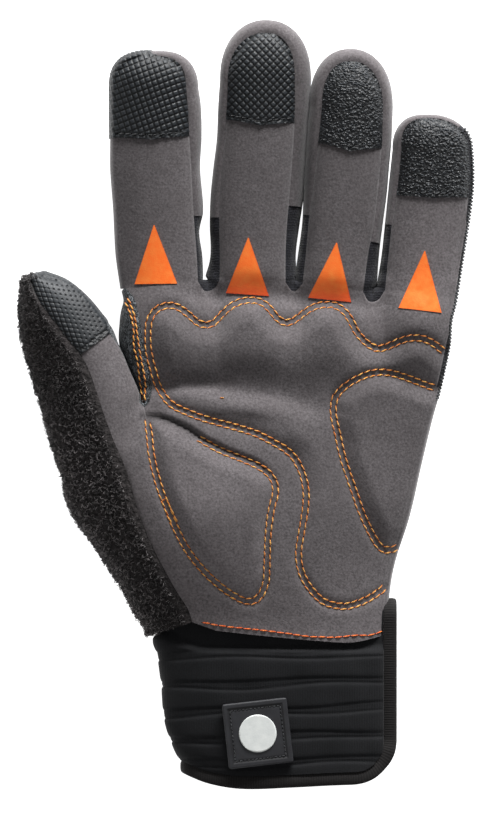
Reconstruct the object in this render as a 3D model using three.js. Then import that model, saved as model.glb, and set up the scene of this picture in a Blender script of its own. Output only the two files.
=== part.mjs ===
import * as THREE from 'three';

// A left work glove, palm up, lying on the back of its hand.
// Millimetres: +X to the little finger, +Y to the fingertips, +Z up out of the palm.
// Every cloth piece is a sheet of quads with an outer and an inner face. The front and the back
// of the glove share one plan, and side strips bulge out from that plan between the two.

// Driving dimensions
const PALM_WALL = 2.0;
const BACK_WALL = 1.5;
const GUSSET_WALL = 1.0;
const TERRY_WALL = 2.0;
const CUFF_WALL = 2.2;
const SEAM_GAP = 0.3;
const SKIN_WALL = 0.6;
const SKIN_CLEARANCE = 0.55;

const FINGER_COLUMNS = 5;
const FINGER_ROWS = 8;
const PATCH_ROW = 6;
const CAP_ROWS = 3;
const INDEX_ROLL_END = FINGER_ROWS + CAP_ROWS + 2;
const PALM_ROWS = 16;
const CROTCH_ROW = 7;
const THUMB_COLUMNS = 3;
const STRIP_SEGMENTS = 4;
const TERRY_SEGMENTS = 7;
const CUFF_COLUMNS = 22;
const CUFF_CROWDING = 0.1;
const VENT_TURN_SEGMENTS = 6;
const TRIANGLE_STEPS = 3;

const SEAM_HEIGHT = 17.5;
const SEAM_DROP = 1.5;
const FINGER_CROWN = 3.2;
const CROWN_SHAPE = 2.2;
const PALM_CROWN = 5.0;
const THUMB_CROWN = 1.6;
const THUMB_BACK_CROWN = 1.5;
const BACK_EDGE_RISE = 2.2;
const FINGERTIP_LIFT = 5.0;
const GUSSET_TOP = 56;
const CROTCH_REACH = 5.0;
const LEAST_REACH = 0.25;

const WRIST = { x: 6.2, z: 11, halfWidth: 40.2, halfHeight: 11, squareness: 2.6 };

// Short tables with named columns
function table(columns, rows) {
  const names = columns.split(' ');
  return rows.map((row) => Object.fromEntries(names.map((name, i) => [name, row[i]])));
}

// Each finger from its base to where its tip starts to round. left and right are the front
// seams, and the reaches say how far the side walls bulge out past them.
const FINGERS = {
  index: {
    baseY: [38.5, 40.6], patchY: 88.4, tipY: 114.8, tipReach: 1.9, squareness: 2.8, lean: 0,
    rows: table('y left right reachLeft reachRight', [
      [38, -40.1, -15.9, 1.6, 1.7],
      [49, -41.4, -16.4, 1.9, 1.8],
      [57, -41.8, -17.0, 2.0, 1.4],
      [64, -42.1, -17.5, 2.0, 3.2],
      [78, -43.1, -18.2, 2.0, 2.9],
      [88, -43.1, -18.8, 2.0, 4.0],
      [98, -43.2, -19.3, 2.0, 4.3],
      [104, -43.2, -19.9, 2.0, 4.1],
    ]),
  },
  middle: {
    baseY: [41.5, 40.2], patchY: 92, tipY: 122.3, tipReach: 4.7, squareness: 2.25, lean: 1.3,
    rows: table('y left right reachLeft reachRight', [
      [40, -8.9, 12.9, 3.4, 3.0],
      [49, -8.8, 12.9, 3.2, 3.2],
      [60, -9.0, 13.4, 3.2, 4.2],
      [69, -8.8, 14.2, 3.1, 4.4],
      [78, -8.1, 14.9, 2.9, 4.1],
      [88, -7.1, 15.6, 2.7, 4.0],
      [98, -6.4, 15.9, 3.0, 4.7],
      [107, -6.1, 15.9, 2.7, 5.5],
    ]),
  },
  ring: {
    baseY: [39.8, 37.2], patchY: 85, tipY: 113, tipReach: 4.5, squareness: 2.25, lean: -0.6,
    rows: table('y left right reachLeft reachRight', [
      [37, 18.2, 38.4, 2.2, 3.3],
      [50, 19.6, 40.2, 2.5, 3.7],
      [60, 20.5, 42.1, 2.1, 3.0],
      [70, 21.8, 43.3, 2.7, 3.1],
      [79, 22.8, 44.1, 3.3, 3.1],
      [88, 23.9, 44.7, 3.8, 3.3],
      [98, 24.9, 44.9, 4.0, 3.5],
    ]),
  },
  little: {
    baseY: [37.8, 34.5], patchY: 68.4, tipY: 94.3, tipReach: 1.5, squareness: 2.4, lean: -2.2,
    rows: table('y left right reachLeft reachRight', [
      [34, 45.3, 67.9, 2.2, 1.4],
      [48, 46.7, 70.1, 2.2, 1.4],
      [60, 48.0, 72.0, 2.2, 1.4],
      [70, 49.6, 73.3, 2.8, 1.4],
      [78, 50.5, 73.5, 2.9, 1.4],
      [84, 51.0, 73.1, 2.8, 1.4],
    ]),
  },
};

// The bottoms of the gaps between the fingers, from the thumb side
const CROTCH_BOTTOMS = [
  table('x y', [[-13.7, 37.4], [-10.7, 38.3]]),
  table('x y', [[15.4, 37.3]]),
  table('x y', [[40.4, 34.0], [43.3, 34.4]]),
];

// The palm's edge beside the saddle patch, from the index finger down to the thumb crotch
const SADDLE_EDGE = table('x y z reach', [
  [-40.1, 38.5, 17.5, 1.6],
  [-37.3, 35.4, 18.3, 4.0],
  [-35.4, 29.0, 19.6, 6.6],
  [-34.0, 20.5, 20.6, 8.0],
  [-32.3, 11.5, 21.2, 6.4],
  [-31.3, 5.0, 21.6, 4.2],
  [-32.2, 0.8, 21.9, 1.6],
  [-33.7, -0.8, 22.0, 1.3],
]);

// A line inside the palm that carries on from the thumb crotch to the hem
const THENAR_LINE = table('x y z', [
  [-31.6, -9.5, 23.8],
  [-29.5, -18.5, 25.0],
  [-27.0, -27.5, 25.5],
  [-24.4, -36.0, 25.4],
  [-21.5, -45.0, 24.9],
  [-18.5, -53.0, 24.2],
  [-15.0, -61.0, 23.0],
  [-12.0, -68.5, 21.9],
  [-10.0, -74.4, 21.6],
]);

// Lines across the thumb from its tip to the crotch: the terry seam, then the other edge
const THUMB_ROWS = table('seamX seamY seamZ edgeX edgeY edgeZ backZ reachLeft reachRight', [
  [-71.3, 41.6, 20.0, -66.4, 43.4, 19.0, 9.0, 3.0, 1.3],
  [-69.0, 35.6, 22.6, -60.2, 39.6, 20.2, 7.5, 6.8, 1.5],
  [-65.4, 30.3, 24.2, -54.0, 34.6, 20.8, 6.6, 11.4, 1.6],
  [-59.2, 22.3, 25.4, -48.6, 28.2, 21.2, 5.8, 16.0, 1.6],
  [-54.5, 16.3, 26.0, -45.4, 23.4, 21.4, 5.2, 18.5, 1.5],
  [-51.5, 10.5, 26.4, -42.5, 17.5, 21.5, 4.8, 19.0, 1.4],
  [-49.3, 4.2, 26.7, -39.6, 11.0, 21.6, 4.4, 19.0, 1.3],
  [-47.2, -2.4, 26.9, -36.9, 4.5, 21.8, 4.0, 19.6, 1.3],
  [-44.6, -9.4, 27.0, -35.2, 0.6, 21.9, 3.6, 20.0, 1.2],
]);

// The terry seam below the crotch
const TERRY_START = { x: -44.0, y: -11.2, z: 27.0 };
const TERRY_SEAM = table('x y z backZ reach', [
  [-42.1, -15.4, 27.0, 3.4, 20.4],
  [-38.7, -24.0, 26.7, 3.2, 22.0],
  [-36.6, -31.8, 26.3, 3.1, 20.9],
  [-34.0, -39.5, 25.6, 3.1, 17.9],
  [-30.4, -47.8, 24.8, 3.1, 16.1],
  [-26.8, -54.8, 23.8, 2.7, 15.4],
  [-22.9, -61.8, 22.4, 2.1, 15.6],
  [-19.4, -67.4, 21.2, 1.7, 15.6],
  [-17.9, -71.6, 20.9, 1.6, 16.0],
]);

// The palm's edge on the little-finger side, from the finger down to the hem
const OUTER_EDGE = table('x y z', [
  [67.9, 34.5, 17.5],
  [66.2, 27.5, 16.6],
  [65.7, 20.0, 15.8],
  [64.1, 12.0, 15.0],
  [62.3, 4.1, 14.6],
  [60.1, -3.8, 14.5],
  [56.3, -19.6, 14.6],
  [52.7, -35.5, 15.0],
  [48.0, -51.3, 15.4],
  [44.2, -62.0, 15.8],
  [43.7, -76.2, 16.3],
]);
const EDGE_REACH = 1.6;
const HEM_REACH = 1.2;
const KNIT_EDGE_END = 4;
const THUMB_TIP_REACH = 1.6;
const EDGE_BACK = 4.2;

const HEM = table('x y', [[-10.0, -74.4], [3.7, -75.9], [23.9, -77.8], [35.0, -78.3], [43.7, -76.2]]);

// Quilted pads: raised foam inside each closed line of stitches
const PADS = [
  {
    rise: 1.0,
    shoulder: 7,
    outline: table('x y', [
      [-33, 22], [-30, 30], [-24, 33], [-15, 27], [-8, 30], [2, 35], [10, 31], [15, 27],
      [24, 33], [32, 32], [38, 24], [46, 20], [56, 22], [66, 16], [62, -10], [56, -30],
      [48, -61], [42, -65], [32, -67], [22, -62], [18, -52], [20, -34], [19, -22],
      [12, -14], [-4, -8], [-20, -3], [-29, 5],
    ]),
  },
  {
    rise: 1.8,
    shoulder: 9,
    outline: table('x y', [
      [63, 7], [48, 11], [38, 9], [30, 3], [29, -4], [33, -20], [40, -43], [46, -49],
      [51, -48], [55, -34],
    ]),
  },
  {
    rise: 2.0,
    shoulder: 10,
    outline: table('x y', [
      [-33, -7], [-31, -20], [-26, -36], [-17, -53], [-8, -62], [1, -65], [6, -58],
      [7, -42], [10, -27], [6, -21], [-6, -15], [-20, -8],
    ]),
  },
];

const PAD_GROOVE = { depth: 0.7, halfWidth: 2.2 };

// Folds: a valley of a depth and half width between two ends
const FOLDS = table('x1 y1 x2 y2 depth width', [
  [-34, -3, -12, -9, 2.6, 4.0],
  [-12, -9, 3, -17, 1.2, 4.0],
  [-22, 4, 16, 6, 1.8, 4.5],
  [-10, 36, 16, 35.5, 1.6, 4.0],
  [16, 35.5, 40, 33, 1.6, 4.0],
  [10, -17, 16, -24, 1.4, 5.0],
]);

// Printed triangles at the finger bases: the apex and the two lower corners. The apex is cut
// off at a small share of the height.
const TRIANGLE_TIP = 0.04;
const TRIANGLES = {
  index: table('x y', [[-30.4, 59.4], [-36.9, 39.6], [-22.8, 39.8]]),
  middle: table('x y', [[0.6, 55.2], [-6.8, 36.7], [7.4, 35.7]]),
  ring: table('x y', [[29.7, 53.6], [20.3, 35.2], [34.5, 33.7]]),
  little: table('x y', [[58.7, 50.9], [50.0, 31.8], [64.2, 30.2]]),
};

// The cuff: its top is tucked inside the hem, and its ribs lie between the valleys
const CUFF = {
  tuck: 2.5,
  tuckStart: -82.2,
  tuckEnd: -78.7,
  ribDepth: 1.3,
  valleyHalfWidth: 2,
  openAngle: 0.42,
  edgeX: 45.3,
  cornerRadius: 9,
  extraBack: 1.4,
  rows: [-68, -73, -78.7, -82.3, -87.2, -92, -96.5, -101, -105.3, -109.6, -114, -118.4, -122.3],
  valleys: [-82.3, -92, -101, -109.6, -118.4],
  slantStart: -96.5,
  mouth: table('x y', [
    [-24, -115],
    [-18, -119],
    [-11, -121.3],
    [-2, -122.3],
    [15, -121.8],
    [30, -121.1],
    [46, -120.8],
  ]),
  sections: table('y left right', [
    [-122.3, -21.0, 48.4],
    [-118.4, -23.4, 48.5],
    [-106, -26.9, 48.6],
    [-92, -28.4, 48.2],
    [-82.3, -29.8, 47.4],
    [-78.7, -31.0, 46.4],
    [-68, -31.0, 46.4],
  ]),
};

// Tape folded over the cuff's edge, thinner at its fold
const BINDING = {
  width: 4.3,
  thickness: 2.2,
  foldThickness: 1.54,
  ventTopY: -65,
  ventRows: [-80, -90, -100, -108],
};

const LABEL = {
  x: 3.7,
  y: -108.1,
  side: 21.4,
  turn: 0.112,
  wall: 1.2,
  rim: 1.5,
  rimRise: 0.5,
  bevel: 0.3,
};
const DISC = { radius: 6.2, wall: 0.5, segments: 28 };

// Small maths
const clamp = (value, low, high) => Math.min(high, Math.max(low, value));
const lerp = THREE.MathUtils.lerp;

function smooth(from, to, value) {
  const t = clamp((value - from) / (to - from), 0, 1);
  return t * t * (3 - 2 * t);
}

// A smooth curve through one column of a table, read along another
function profile(rows, column, along = 'y') {
  const sorted = [...rows].sort((a, b) => a[along] - b[along]);
  const at = sorted.map((row) => row[along]);
  const value = sorted.map((row) => row[column]);
  const last = at.length - 1;
  const slope = value.map((_, i) => {
    const before = Math.max(0, i - 1);
    const after = Math.min(last, i + 1);
    return (value[after] - value[before]) / (at[after] - at[before]);
  });
  return (position) => {
    const p = clamp(position, at[0], at[last]);
    let i = 0;
    while (i < last - 1 && p > at[i + 1]) i += 1;
    const span = at[i + 1] - at[i];
    const t = (p - at[i]) / span;
    const bend = (t - 1) * t;
    return value[i] * (1 + 2 * t) * (1 - t) ** 2 + value[i + 1] * t * t * (3 - 2 * t)
      + span * bend * ((t - 1) * slope[i] + t * slope[i + 1]);
  };
}

// Points spread evenly along a smooth line through the rows of a table
function spread(rows, count, keys = ['x', 'y', 'z']) {
  const line = new THREE.CatmullRomCurve3(
    rows.map((row) => new THREE.Vector3(...keys.map((key) => row[key] ?? 0))),
    false,
    'centripetal',
  );
  return line.getSpacedPoints(count);
}

// Distance from a plan point to a segment
function segmentDistance(x, y, x1, y1, x2, y2) {
  const dx = x2 - x1;
  const dy = y2 - y1;
  const t = clamp(((x - x1) * dx + (y - y1) * dy) / (dx * dx + dy * dy), 0, 1);
  return Math.hypot(x - x1 - t * dx, y - y1 - t * dy);
}

// Distance from a plan point to a closed outline, positive inside it
function insideDistance(x, y, outline) {
  let nearest = Infinity;
  let inside = false;
  outline.forEach((a, i) => {
    const b = outline[(i + 1) % outline.length];
    nearest = Math.min(nearest, segmentDistance(x, y, a.x, a.y, b.x, b.y));
    const crosses = (a.y > y) !== (b.y > y);
    if (crosses && x < ((b.x - a.x) * (y - a.y)) / (b.y - a.y) + a.x) inside = !inside;
  });
  return inside ? nearest : -nearest;
}

// The sheet: pairs of outer and inner points, welded where they meet
class Sheet {
  constructor() {
    this.outer = [];
    this.inner = [];
    this.quads = [];
    this.known = new Map();
  }

  add(outer, inner) {
    const key = [outer.x, outer.y, outer.z].map((v) => v.toFixed(3)).join(' ');
    if (!this.known.has(key)) {
      this.known.set(key, this.outer.length);
      this.outer.push(outer);
      this.inner.push(inner);
    }
    return this.known.get(key);
  }

  // A grid of { outer, inner } points, turned so that its outer face points away from its inner one
  patch(grid) {
    const ids = grid.map((row) => row.map((pair) => this.add(pair.outer, pair.inner)));
    const cells = [];
    let facing = 0;
    for (let j = 0; j < ids.length - 1; j += 1) {
      for (let i = 0; i < ids[j].length - 1; i += 1) {
        const cell = [ids[j][i], ids[j][i + 1], ids[j + 1][i + 1], ids[j + 1][i]];
        const [a, b, c, d] = cell.map((id) => this.outer[id]);
        const normal = c.clone().sub(a).cross(d.clone().sub(b));
        facing += normal.dot(a.clone().sub(this.inner[cell[0]]));
        cells.push(cell);
      }
    }
    cells.forEach((cell) => this.quads.push(facing < 0 ? cell.reverse() : cell));
  }

  // The closed solid: outer face, inner face and a wall along every free edge
  geometry() {
    const count = this.outer.length;
    const faces = [];
    const edges = new Map();
    this.quads.forEach(([a, b, c, d]) => {
      faces.push([a, b, c], [a, c, d]);
      faces.push([a + count, c + count, b + count], [a + count, d + count, c + count]);
      [[a, b], [b, c], [c, d], [d, a]].forEach(([from, to]) => edges.set(`${from} ${to}`, [from, to]));
    });
    edges.forEach(([from, to]) => {
      if (edges.has(`${to} ${from}`)) return;
      faces.push([from, from + count, to + count], [from, to + count, to]);
    });
    const geometry = new THREE.BufferGeometry();
    geometry.setFromPoints([...this.outer, ...this.inner]);
    geometry.setIndex(faces.flat());
    geometry.computeVertexNormals();
    return geometry;
  }

  // Height of the outer face over a plan point
  heightAt(x, y) {
    let height = 0;
    for (const [a, b, c, d] of this.quads) {
      for (const corners of [[a, b, c], [a, c, d]]) {
        const [p, q, r] = corners.map((id) => this.outer[id]);
        const area = (q.x - p.x) * (r.y - p.y) - (r.x - p.x) * (q.y - p.y);
        const wq = ((x - p.x) * (r.y - p.y) - (r.x - p.x) * (y - p.y)) / area;
        const wr = ((q.x - p.x) * (y - p.y) - (x - p.x) * (q.y - p.y)) / area;
        if (area > 0 && wq >= -1e-6 && wr >= -1e-6 && wq + wr <= 1 + 1e-6) {
          height = Math.max(height, p.z + wq * (q.z - p.z) + wr * (r.z - p.z));
        }
      }
    }
    return height;
  }
}

// The plan, with front and back heights
const fingertipLift = (y) => FINGERTIP_LIFT * smooth(40, 127, y);
const fingerNames = Object.keys(FINGERS);

Object.values(FINGERS).forEach((finger) => {
  finger.capY = finger.rows.at(-1).y;
  for (const column of ['left', 'right', 'reachLeft', 'reachRight']) {
    finger[`${column}At`] = profile(finger.rows, column);
  }
});

// How far across its finger a plan point lies, from -1 to 1, or null beside the fingers
function acrossFinger(x, y) {
  for (const finger of Object.values(FINGERS)) {
    const left = finger.leftAt(y);
    const right = finger.rightAt(y);
    if (x >= left - 1e-6 && x <= right + 1e-6) return (2 * (x - left)) / (right - left) - 1;
  }
  return null;
}

const saddleX = profile(SADDLE_EDGE.slice(0, 6), 'x');
const terryX = profile(TERRY_SEAM, 'x');
const outerX = profile(OUTER_EDGE, 'x');

// Relief of the palm side: its crown, the finger roots, the pads and the folds
function palmRelief(x, y) {
  const toTerry = smooth(3, -16, y);
  const left = lerp(saddleX(y), terryX(y), toTerry);
  const right = outerX(y);
  const u = clamp((x - left) / (right - left), 0, 1);
  const along = smooth(42, 12, y) * smooth(-82, -44, y);
  let height = PALM_CROWN * (4 * u * (1 - u)) ** 0.6 * along;
  const across = acrossFinger(x, y);
  if (across !== null) {
    height += FINGER_CROWN * (1 - Math.abs(across) ** CROWN_SHAPE) * smooth(20, 33, y);
  }
  PADS.forEach((pad) => {
    const depth = insideDistance(x, y, pad.outline);
    const groove = Math.exp(-((depth / PAD_GROOVE.halfWidth) ** 2));
    height += pad.rise * smooth(0, pad.shoulder, depth) - PAD_GROOVE.depth * groove;
  });
  FOLDS.forEach((fold) => {
    const away = segmentDistance(x, y, fold.x1, fold.y1, fold.x2, fold.y2);
    height -= fold.depth * Math.exp(-((away / fold.width) ** 2));
  });
  return height;
}

function backRelief(x, y) {
  const across = acrossFinger(x, y);
  const root = across === null ? 1 : Math.abs(across) ** 3;
  return BACK_EDGE_RISE * root * smooth(24, 34, y);
}

const planPoint = (x, y, front, back, reach = 0) => ({ x, y, front, back, reach });

// A point of a finger's straight part: a share along it and a share across it
function straightPoint(finger, row, share) {
  const base = Math.max(...finger.baseY);
  const level = row <= PATCH_ROW
    ? lerp(base, finger.patchY, row / PATCH_ROW)
    : lerp(finger.patchY, finger.capY, (row - PATCH_ROW) / (FINGER_ROWS - PATCH_ROW));
  const slant = base - lerp(finger.baseY[0], finger.baseY[1], share);
  const y = level - slant * (1 - row / FINGER_ROWS) ** 3;
  const reachAt = share < 0.5 ? finger.reachLeftAt : finger.reachRightAt;
  return { x: lerp(finger.leftAt(y), finger.rightAt(y), share), y, reach: reachAt(y) };
}

// A point of a finger's round tip: u runs across it and s out to its end, on a squarish circle
function roundPoint(finger, u, s) {
  const { capY, squareness: n } = finger;
  const width = finger.rightAt(capY) - finger.leftAt(capY);
  const centre = (finger.rightAt(capY) + finger.leftAt(capY)) / 2;
  const across = u * Math.sqrt(1 - (s * s) / 2);
  const up = s * Math.sqrt(1 - (u * u) / 2);
  const angle = Math.atan2(up, across);
  const square = (Math.abs(Math.cos(angle)) ** n + Math.abs(Math.sin(angle)) ** n) ** (-1 / n);
  const scale = 1 + (square - 1) * Math.hypot(across, up);
  const reachAt = u < 0 ? finger.reachLeftAt : finger.reachRightAt;
  return {
    x: centre + (across * scale * width) / 2 + finger.lean * up * up,
    y: capY + up * scale * (finger.tipY - capY),
    reach: lerp(reachAt(capY), finger.tipReach, up * up),
  };
}

// One finger's grid of plan points, with rows from its base to its tip
function fingerPlan(finger) {
  const rows = [];
  for (let k = 0; k <= FINGER_ROWS + CAP_ROWS; k += 1) {
    const row = [];
    for (let i = 0; i <= FINGER_COLUMNS; i += 1) {
      const u = (2 * i) / FINGER_COLUMNS - 1;
      const s = Math.max(0, (k - FINGER_ROWS) / CAP_ROWS);
      const rim = Math.min(1, (Math.abs(u) ** 3 + s ** 3) ** (1 / 3));
      const point = s === 0 ? straightPoint(finger, k, i / FINGER_COLUMNS) : roundPoint(finger, u, s);
      const { x, y, reach } = point;
      const seam = SEAM_HEIGHT + fingertipLift(y) - SEAM_DROP * smooth(60, 125, y);
      const front = seam + FINGER_CROWN * (1 - rim ** CROWN_SHAPE);
      const back = BACK_EDGE_RISE * rim ** 3 + fingertipLift(y);
      row.push(planPoint(x, y, front, back, reach));
    }
    rows.push(row);
  }
  return rows;
}

const fingerPlans = Object.fromEntries(fingerNames.map((name) => [name, fingerPlan(FINGERS[name])]));

// The palm's top edge: the finger bases and the crotches between them
function palmTop() {
  const points = [];
  fingerNames.forEach((name, i) => {
    points.push(...fingerPlans[name][0]);
    (CROTCH_BOTTOMS[i] ?? []).forEach(({ x, y }) => {
      points.push(planPoint(x, y, SEAM_HEIGHT, BACK_EDGE_RISE, CROTCH_REACH));
    });
  });
  return points;
}

// The palm's left edge, from the index finger down past the thumb crotch to the hem
function palmLeft() {
  const upper = spread(SADDLE_EDGE, CROTCH_ROW);
  const lower = spread([SADDLE_EDGE.at(-1), ...THENAR_LINE], PALM_ROWS - CROTCH_ROW);
  return [...upper, ...lower.slice(1)];
}

const topEdge = palmTop();
const PALM_COLUMNS = topEdge.length - 1;
const leftEdge = palmLeft();
const rightEdge = spread(OUTER_EDGE, PALM_ROWS);
const hemY = profile(HEM, 'y', 'x');

function wristHeight(x) {
  const u = clamp(Math.abs(x - WRIST.x) / WRIST.halfWidth, 0, 1);
  const n = WRIST.squareness;
  return WRIST.z + WRIST.halfHeight * (1 - u ** n) ** (1 / n);
}

// A point of the palm between its four edges: s runs across it, and t from its top to its hem
function betweenEdges(top, bottom, left, right, s, t) {
  const [topLeft, topRight] = [leftEdge[0], rightEdge[0]];
  const [bottomLeft, bottomRight] = [leftEdge[PALM_ROWS], rightEdge[PALM_ROWS]];
  return ['x', 'y', 'z'].map((key) => {
    const topCorners = lerp(topLeft[key], topRight[key], s);
    const bottomCorners = lerp(bottomLeft[key], bottomRight[key], s);
    const sides = lerp(left[key], right[key], s);
    return sides + lerp(top[key], bottom[key], t) - lerp(topCorners, bottomCorners, t);
  });
}

// The palm's plan points: a smooth blend between its four edges
function palmPlan() {
  const rows = [topEdge];
  for (let j = 1; j <= PALM_ROWS; j += 1) {
    rows.push(topEdge.map((edge, i) => {
      const s = i / PALM_COLUMNS;
      const hem = lerp(leftEdge[PALM_ROWS].x, rightEdge[PALM_ROWS].x, s);
      const bottom = { x: hem, y: hemY(hem), z: wristHeight(hem) };
      const top = { x: edge.x, y: edge.y, z: SEAM_HEIGHT };
      const [x, y, base] = i === 0
        ? leftEdge[j].toArray()
        : betweenEdges(top, bottom, leftEdge[j], rightEdge[j], s, j / PALM_ROWS);
      const rise = Math.max(0, Math.abs(2 * s - 1) * 2 - 1) ** 3;
      const besideThumb = s < 0.5 && j > CROTCH_ROW;
      const back = EDGE_BACK * rise * (besideThumb ? 0.1 : 1) + backRelief(x, y);
      const reach = lerp(HEM_REACH, EDGE_REACH, smooth(-60, -40, y));
      return planPoint(x, y, base + palmRelief(x, y), back, reach);
    }));
  }
  return rows;
}

const palmGrid = palmPlan();

// The thumb's plan points, from its tip down its own length and then beside the thenar line
function thumbPlan() {
  const rows = THUMB_ROWS.map((line) => Array.from({ length: THUMB_COLUMNS + 1 }, (_, i) => {
    const s = i / THUMB_COLUMNS;
    const x = lerp(line.seamX, line.edgeX, s);
    const y = lerp(line.seamY, line.edgeY, s);
    const front = lerp(line.seamZ, line.edgeZ, s) + THUMB_CROWN * 4 * s * (1 - s);
    const back = line.backZ - THUMB_BACK_CROWN * (1 - Math.abs(2 * s - 1) ** 3);
    return planPoint(x, y, front, back);
  }));
  const lower = PALM_ROWS - CROTCH_ROW;
  const seam = spread([TERRY_START, ...TERRY_SEAM], lower);
  const seamBack = profile(TERRY_SEAM, 'backZ');
  for (let k = 0; k <= lower; k += 1) {
    const inner = palmGrid[CROTCH_ROW + k][0];
    rows.push(Array.from({ length: THUMB_COLUMNS + 1 }, (_, i) => {
      const s = i / THUMB_COLUMNS;
      if (i === THUMB_COLUMNS) return inner;
      const x = lerp(seam[k].x, inner.x, s);
      const y = lerp(seam[k].y, inner.y, s);
      const base = lerp(seam[k].z, leftEdge[CROTCH_ROW + k].z, s);
      return planPoint(x, y, base + palmRelief(x, y), lerp(seamBack(seam[k].y), inner.back, s));
    }));
  }
  return rows;
}

const thumbGrid = thumbPlan();
const THUMB_BASE = THUMB_ROWS.length;

// From plan points to sheets
const vector = (x, y, z) => new THREE.Vector3(x, y, z);

function frontPair(p) {
  return { outer: vector(p.x, p.y, p.front), inner: vector(p.x, p.y, p.front - PALM_WALL) };
}

function backPair(p, wall) {
  return { outer: vector(p.x, p.y, p.back), inner: vector(p.x, p.y, p.back + wall) };
}

const column = (rows, i) => rows.map((row) => row.at(i));

function fingerBoundary(name) {
  const rows = fingerPlans[name];
  return [...column(rows, 0), ...rows.at(-1).slice(1, -1), ...column(rows, -1).reverse()];
}

// Outward plan directions along a boundary that has the glove on its right
function outward(line) {
  return line.map((_, i) => {
    const before = line[Math.max(0, i - 1)];
    const after = line[Math.min(line.length - 1, i + 1)];
    return new THREE.Vector2(before.y - after.y, after.x - before.x).normalize();
  });
}

// A side wall that bulges out between the front and back heights of a boundary. A seam gap of 0
// lets it weld to a sheet there.
function sideStrip(line, shape) {
  const { wall, frontWall = wall, segments = STRIP_SEGMENTS } = shape;
  const { frontGap = SEAM_GAP, backGap = SEAM_GAP } = shape;
  const directions = outward(line);
  return line.map((p, k) => Array.from({ length: segments + 1 }, (_, m) => {
    const v = m / segments;
    const gap = v < 0.5 ? frontGap : backGap;
    const bulge = Math.sin(Math.PI * v);
    const turn = (1 - Math.cos(Math.PI * v)) / 2;
    const innerReach = Math.max(LEAST_REACH, p.reach - wall);
    const topWall = lerp(frontWall, wall, Math.min(1, 2 * v));
    const at = (reach, z) => {
      const out = gap + (reach - gap) * bulge;
      return vector(p.x + directions[k].x * out, p.y + directions[k].y * out, z);
    };
    return {
      outer: at(p.reach, lerp(p.front, p.back, turn)),
      inner: at(innerReach, lerp(p.front - topWall, p.back + wall, turn)),
    };
  }));
}

// A plan point a given distance from one towards another
function slide(from, to, distance) {
  const t = distance / Math.hypot(to.x - from.x, to.y - from.y);
  return Object.fromEntries(Object.keys(from).map((key) => [key, lerp(from[key], to[key], t)]));
}

// Pulls the ends of a boundary back so that neighbouring strips keep their gap
function trimmed(line) {
  const last = line.length - 1;
  const trim = SEAM_GAP / 2;
  return [slide(line[0], line[1], trim), ...line.slice(1, last), slide(line[last], line[last - 1], trim)];
}

function solid(name, fill, look) {
  const sheet = new Sheet();
  fill(sheet);
  const material = new THREE.MeshStandardMaterial({ side: THREE.DoubleSide, ...look });
  const mesh = new THREE.Mesh(sheet.geometry(), material);
  mesh.name = name;
  mesh.sheet = sheet;
  return mesh;
}

const SUEDE = { color: 0x6a6463, roughness: 0.95, metalness: 0 };
const BLACK_KNIT = { color: 0x1c1c1e, roughness: 0.9, metalness: 0 };
const GRIP = { color: 0x25282b, roughness: 0.5, metalness: 0 };
const PEBBLE = { color: 0x242628, roughness: 0.6, metalness: 0 };
const TERRY = { color: 0x2c292a, roughness: 1.0, metalness: 0 };
const NEOPRENE = { color: 0x18181a, roughness: 0.8, metalness: 0 };
const TAPE = { color: 0x282322, roughness: 0.9, metalness: 0 };
const PRINT = { color: 0xf5761f, roughness: 0.6, metalness: 0 };
const RUBBER = { color: 0x26262a, roughness: 0.55, metalness: 0 };
const EMBLEM = { color: 0xe8eae6, roughness: 0.5, metalness: 0 };

// Rows of a finger's boundary below the gusset top belong to the black crotch gussets
const gussetRow = fingerPlans.middle.findIndex((row) => row[0].y > GUSSET_TOP);

// Suede palm, with the fronts of the fingers and thumb and its own rolled edges
function palmPanel() {
  return solid('palm_panel', (sheet) => {
    sheet.patch(palmGrid.map((row) => row.map(frontPair)));
    fingerNames.forEach((name) => sheet.patch(fingerPlans[name].map((row) => row.map(frontPair))));
    sheet.patch(thumbGrid.map((row) => row.map(frontPair)));
    const roll = { wall: GUSSET_WALL, frontWall: PALM_WALL, frontGap: 0 };
    sheet.patch(sideStrip(fingerBoundary('index').slice(0, INDEX_ROLL_END + 1), roll));
    const edge = column(palmGrid, -1);
    const start = edge.findIndex((p) => p.y < KNIT_EDGE_END);
    const [above, below] = [edge[start - 1], edge[start]];
    const span = Math.hypot(above.x - below.x, above.y - below.y);
    const lead = slide(below, above, span - SEAM_GAP);
    const [first] = sideStrip([lead, below], { wall: GUSSET_WALL });
    sheet.patch([first, ...sideStrip(edge.slice(start), roll)]);
  }, SUEDE);
}

// The back of the glove is smoother than the front, so it keeps only every second straight row
function everySecond(rows, from, to) {
  return rows.filter((_, j) => j <= from || j >= to || (j - from) % 2 === 0);
}

// Knit back of the hand, with the side wall up to the palm along the little finger
function backPanel() {
  return solid('back_panel', (sheet) => {
    const lay = (rows) => sheet.patch(rows.map((row) => row.map((p) => backPair(p, BACK_WALL))));
    const fingers = fingerNames.map((name) => (
      name === 'little' ? fingerPlans[name] : everySecond(fingerPlans[name], 0, FINGER_ROWS)
    ));
    lay(everySecond(palmGrid, CROTCH_ROW - 1, PALM_ROWS));
    lay(everySecond(thumbGrid.slice(THUMB_BASE), 1, PALM_ROWS - CROTCH_ROW));
    fingers.forEach(lay);
    const littleEdge = column(fingers[3], -1).reverse();
    const palmEdge = column(palmGrid, -1).slice(1).filter((p) => p.y >= KNIT_EDGE_END);
    sheet.patch(sideStrip([...littleEdge, ...palmEdge], { wall: GUSSET_WALL, backGap: 0 }));
  }, BLACK_KNIT);
}

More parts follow.
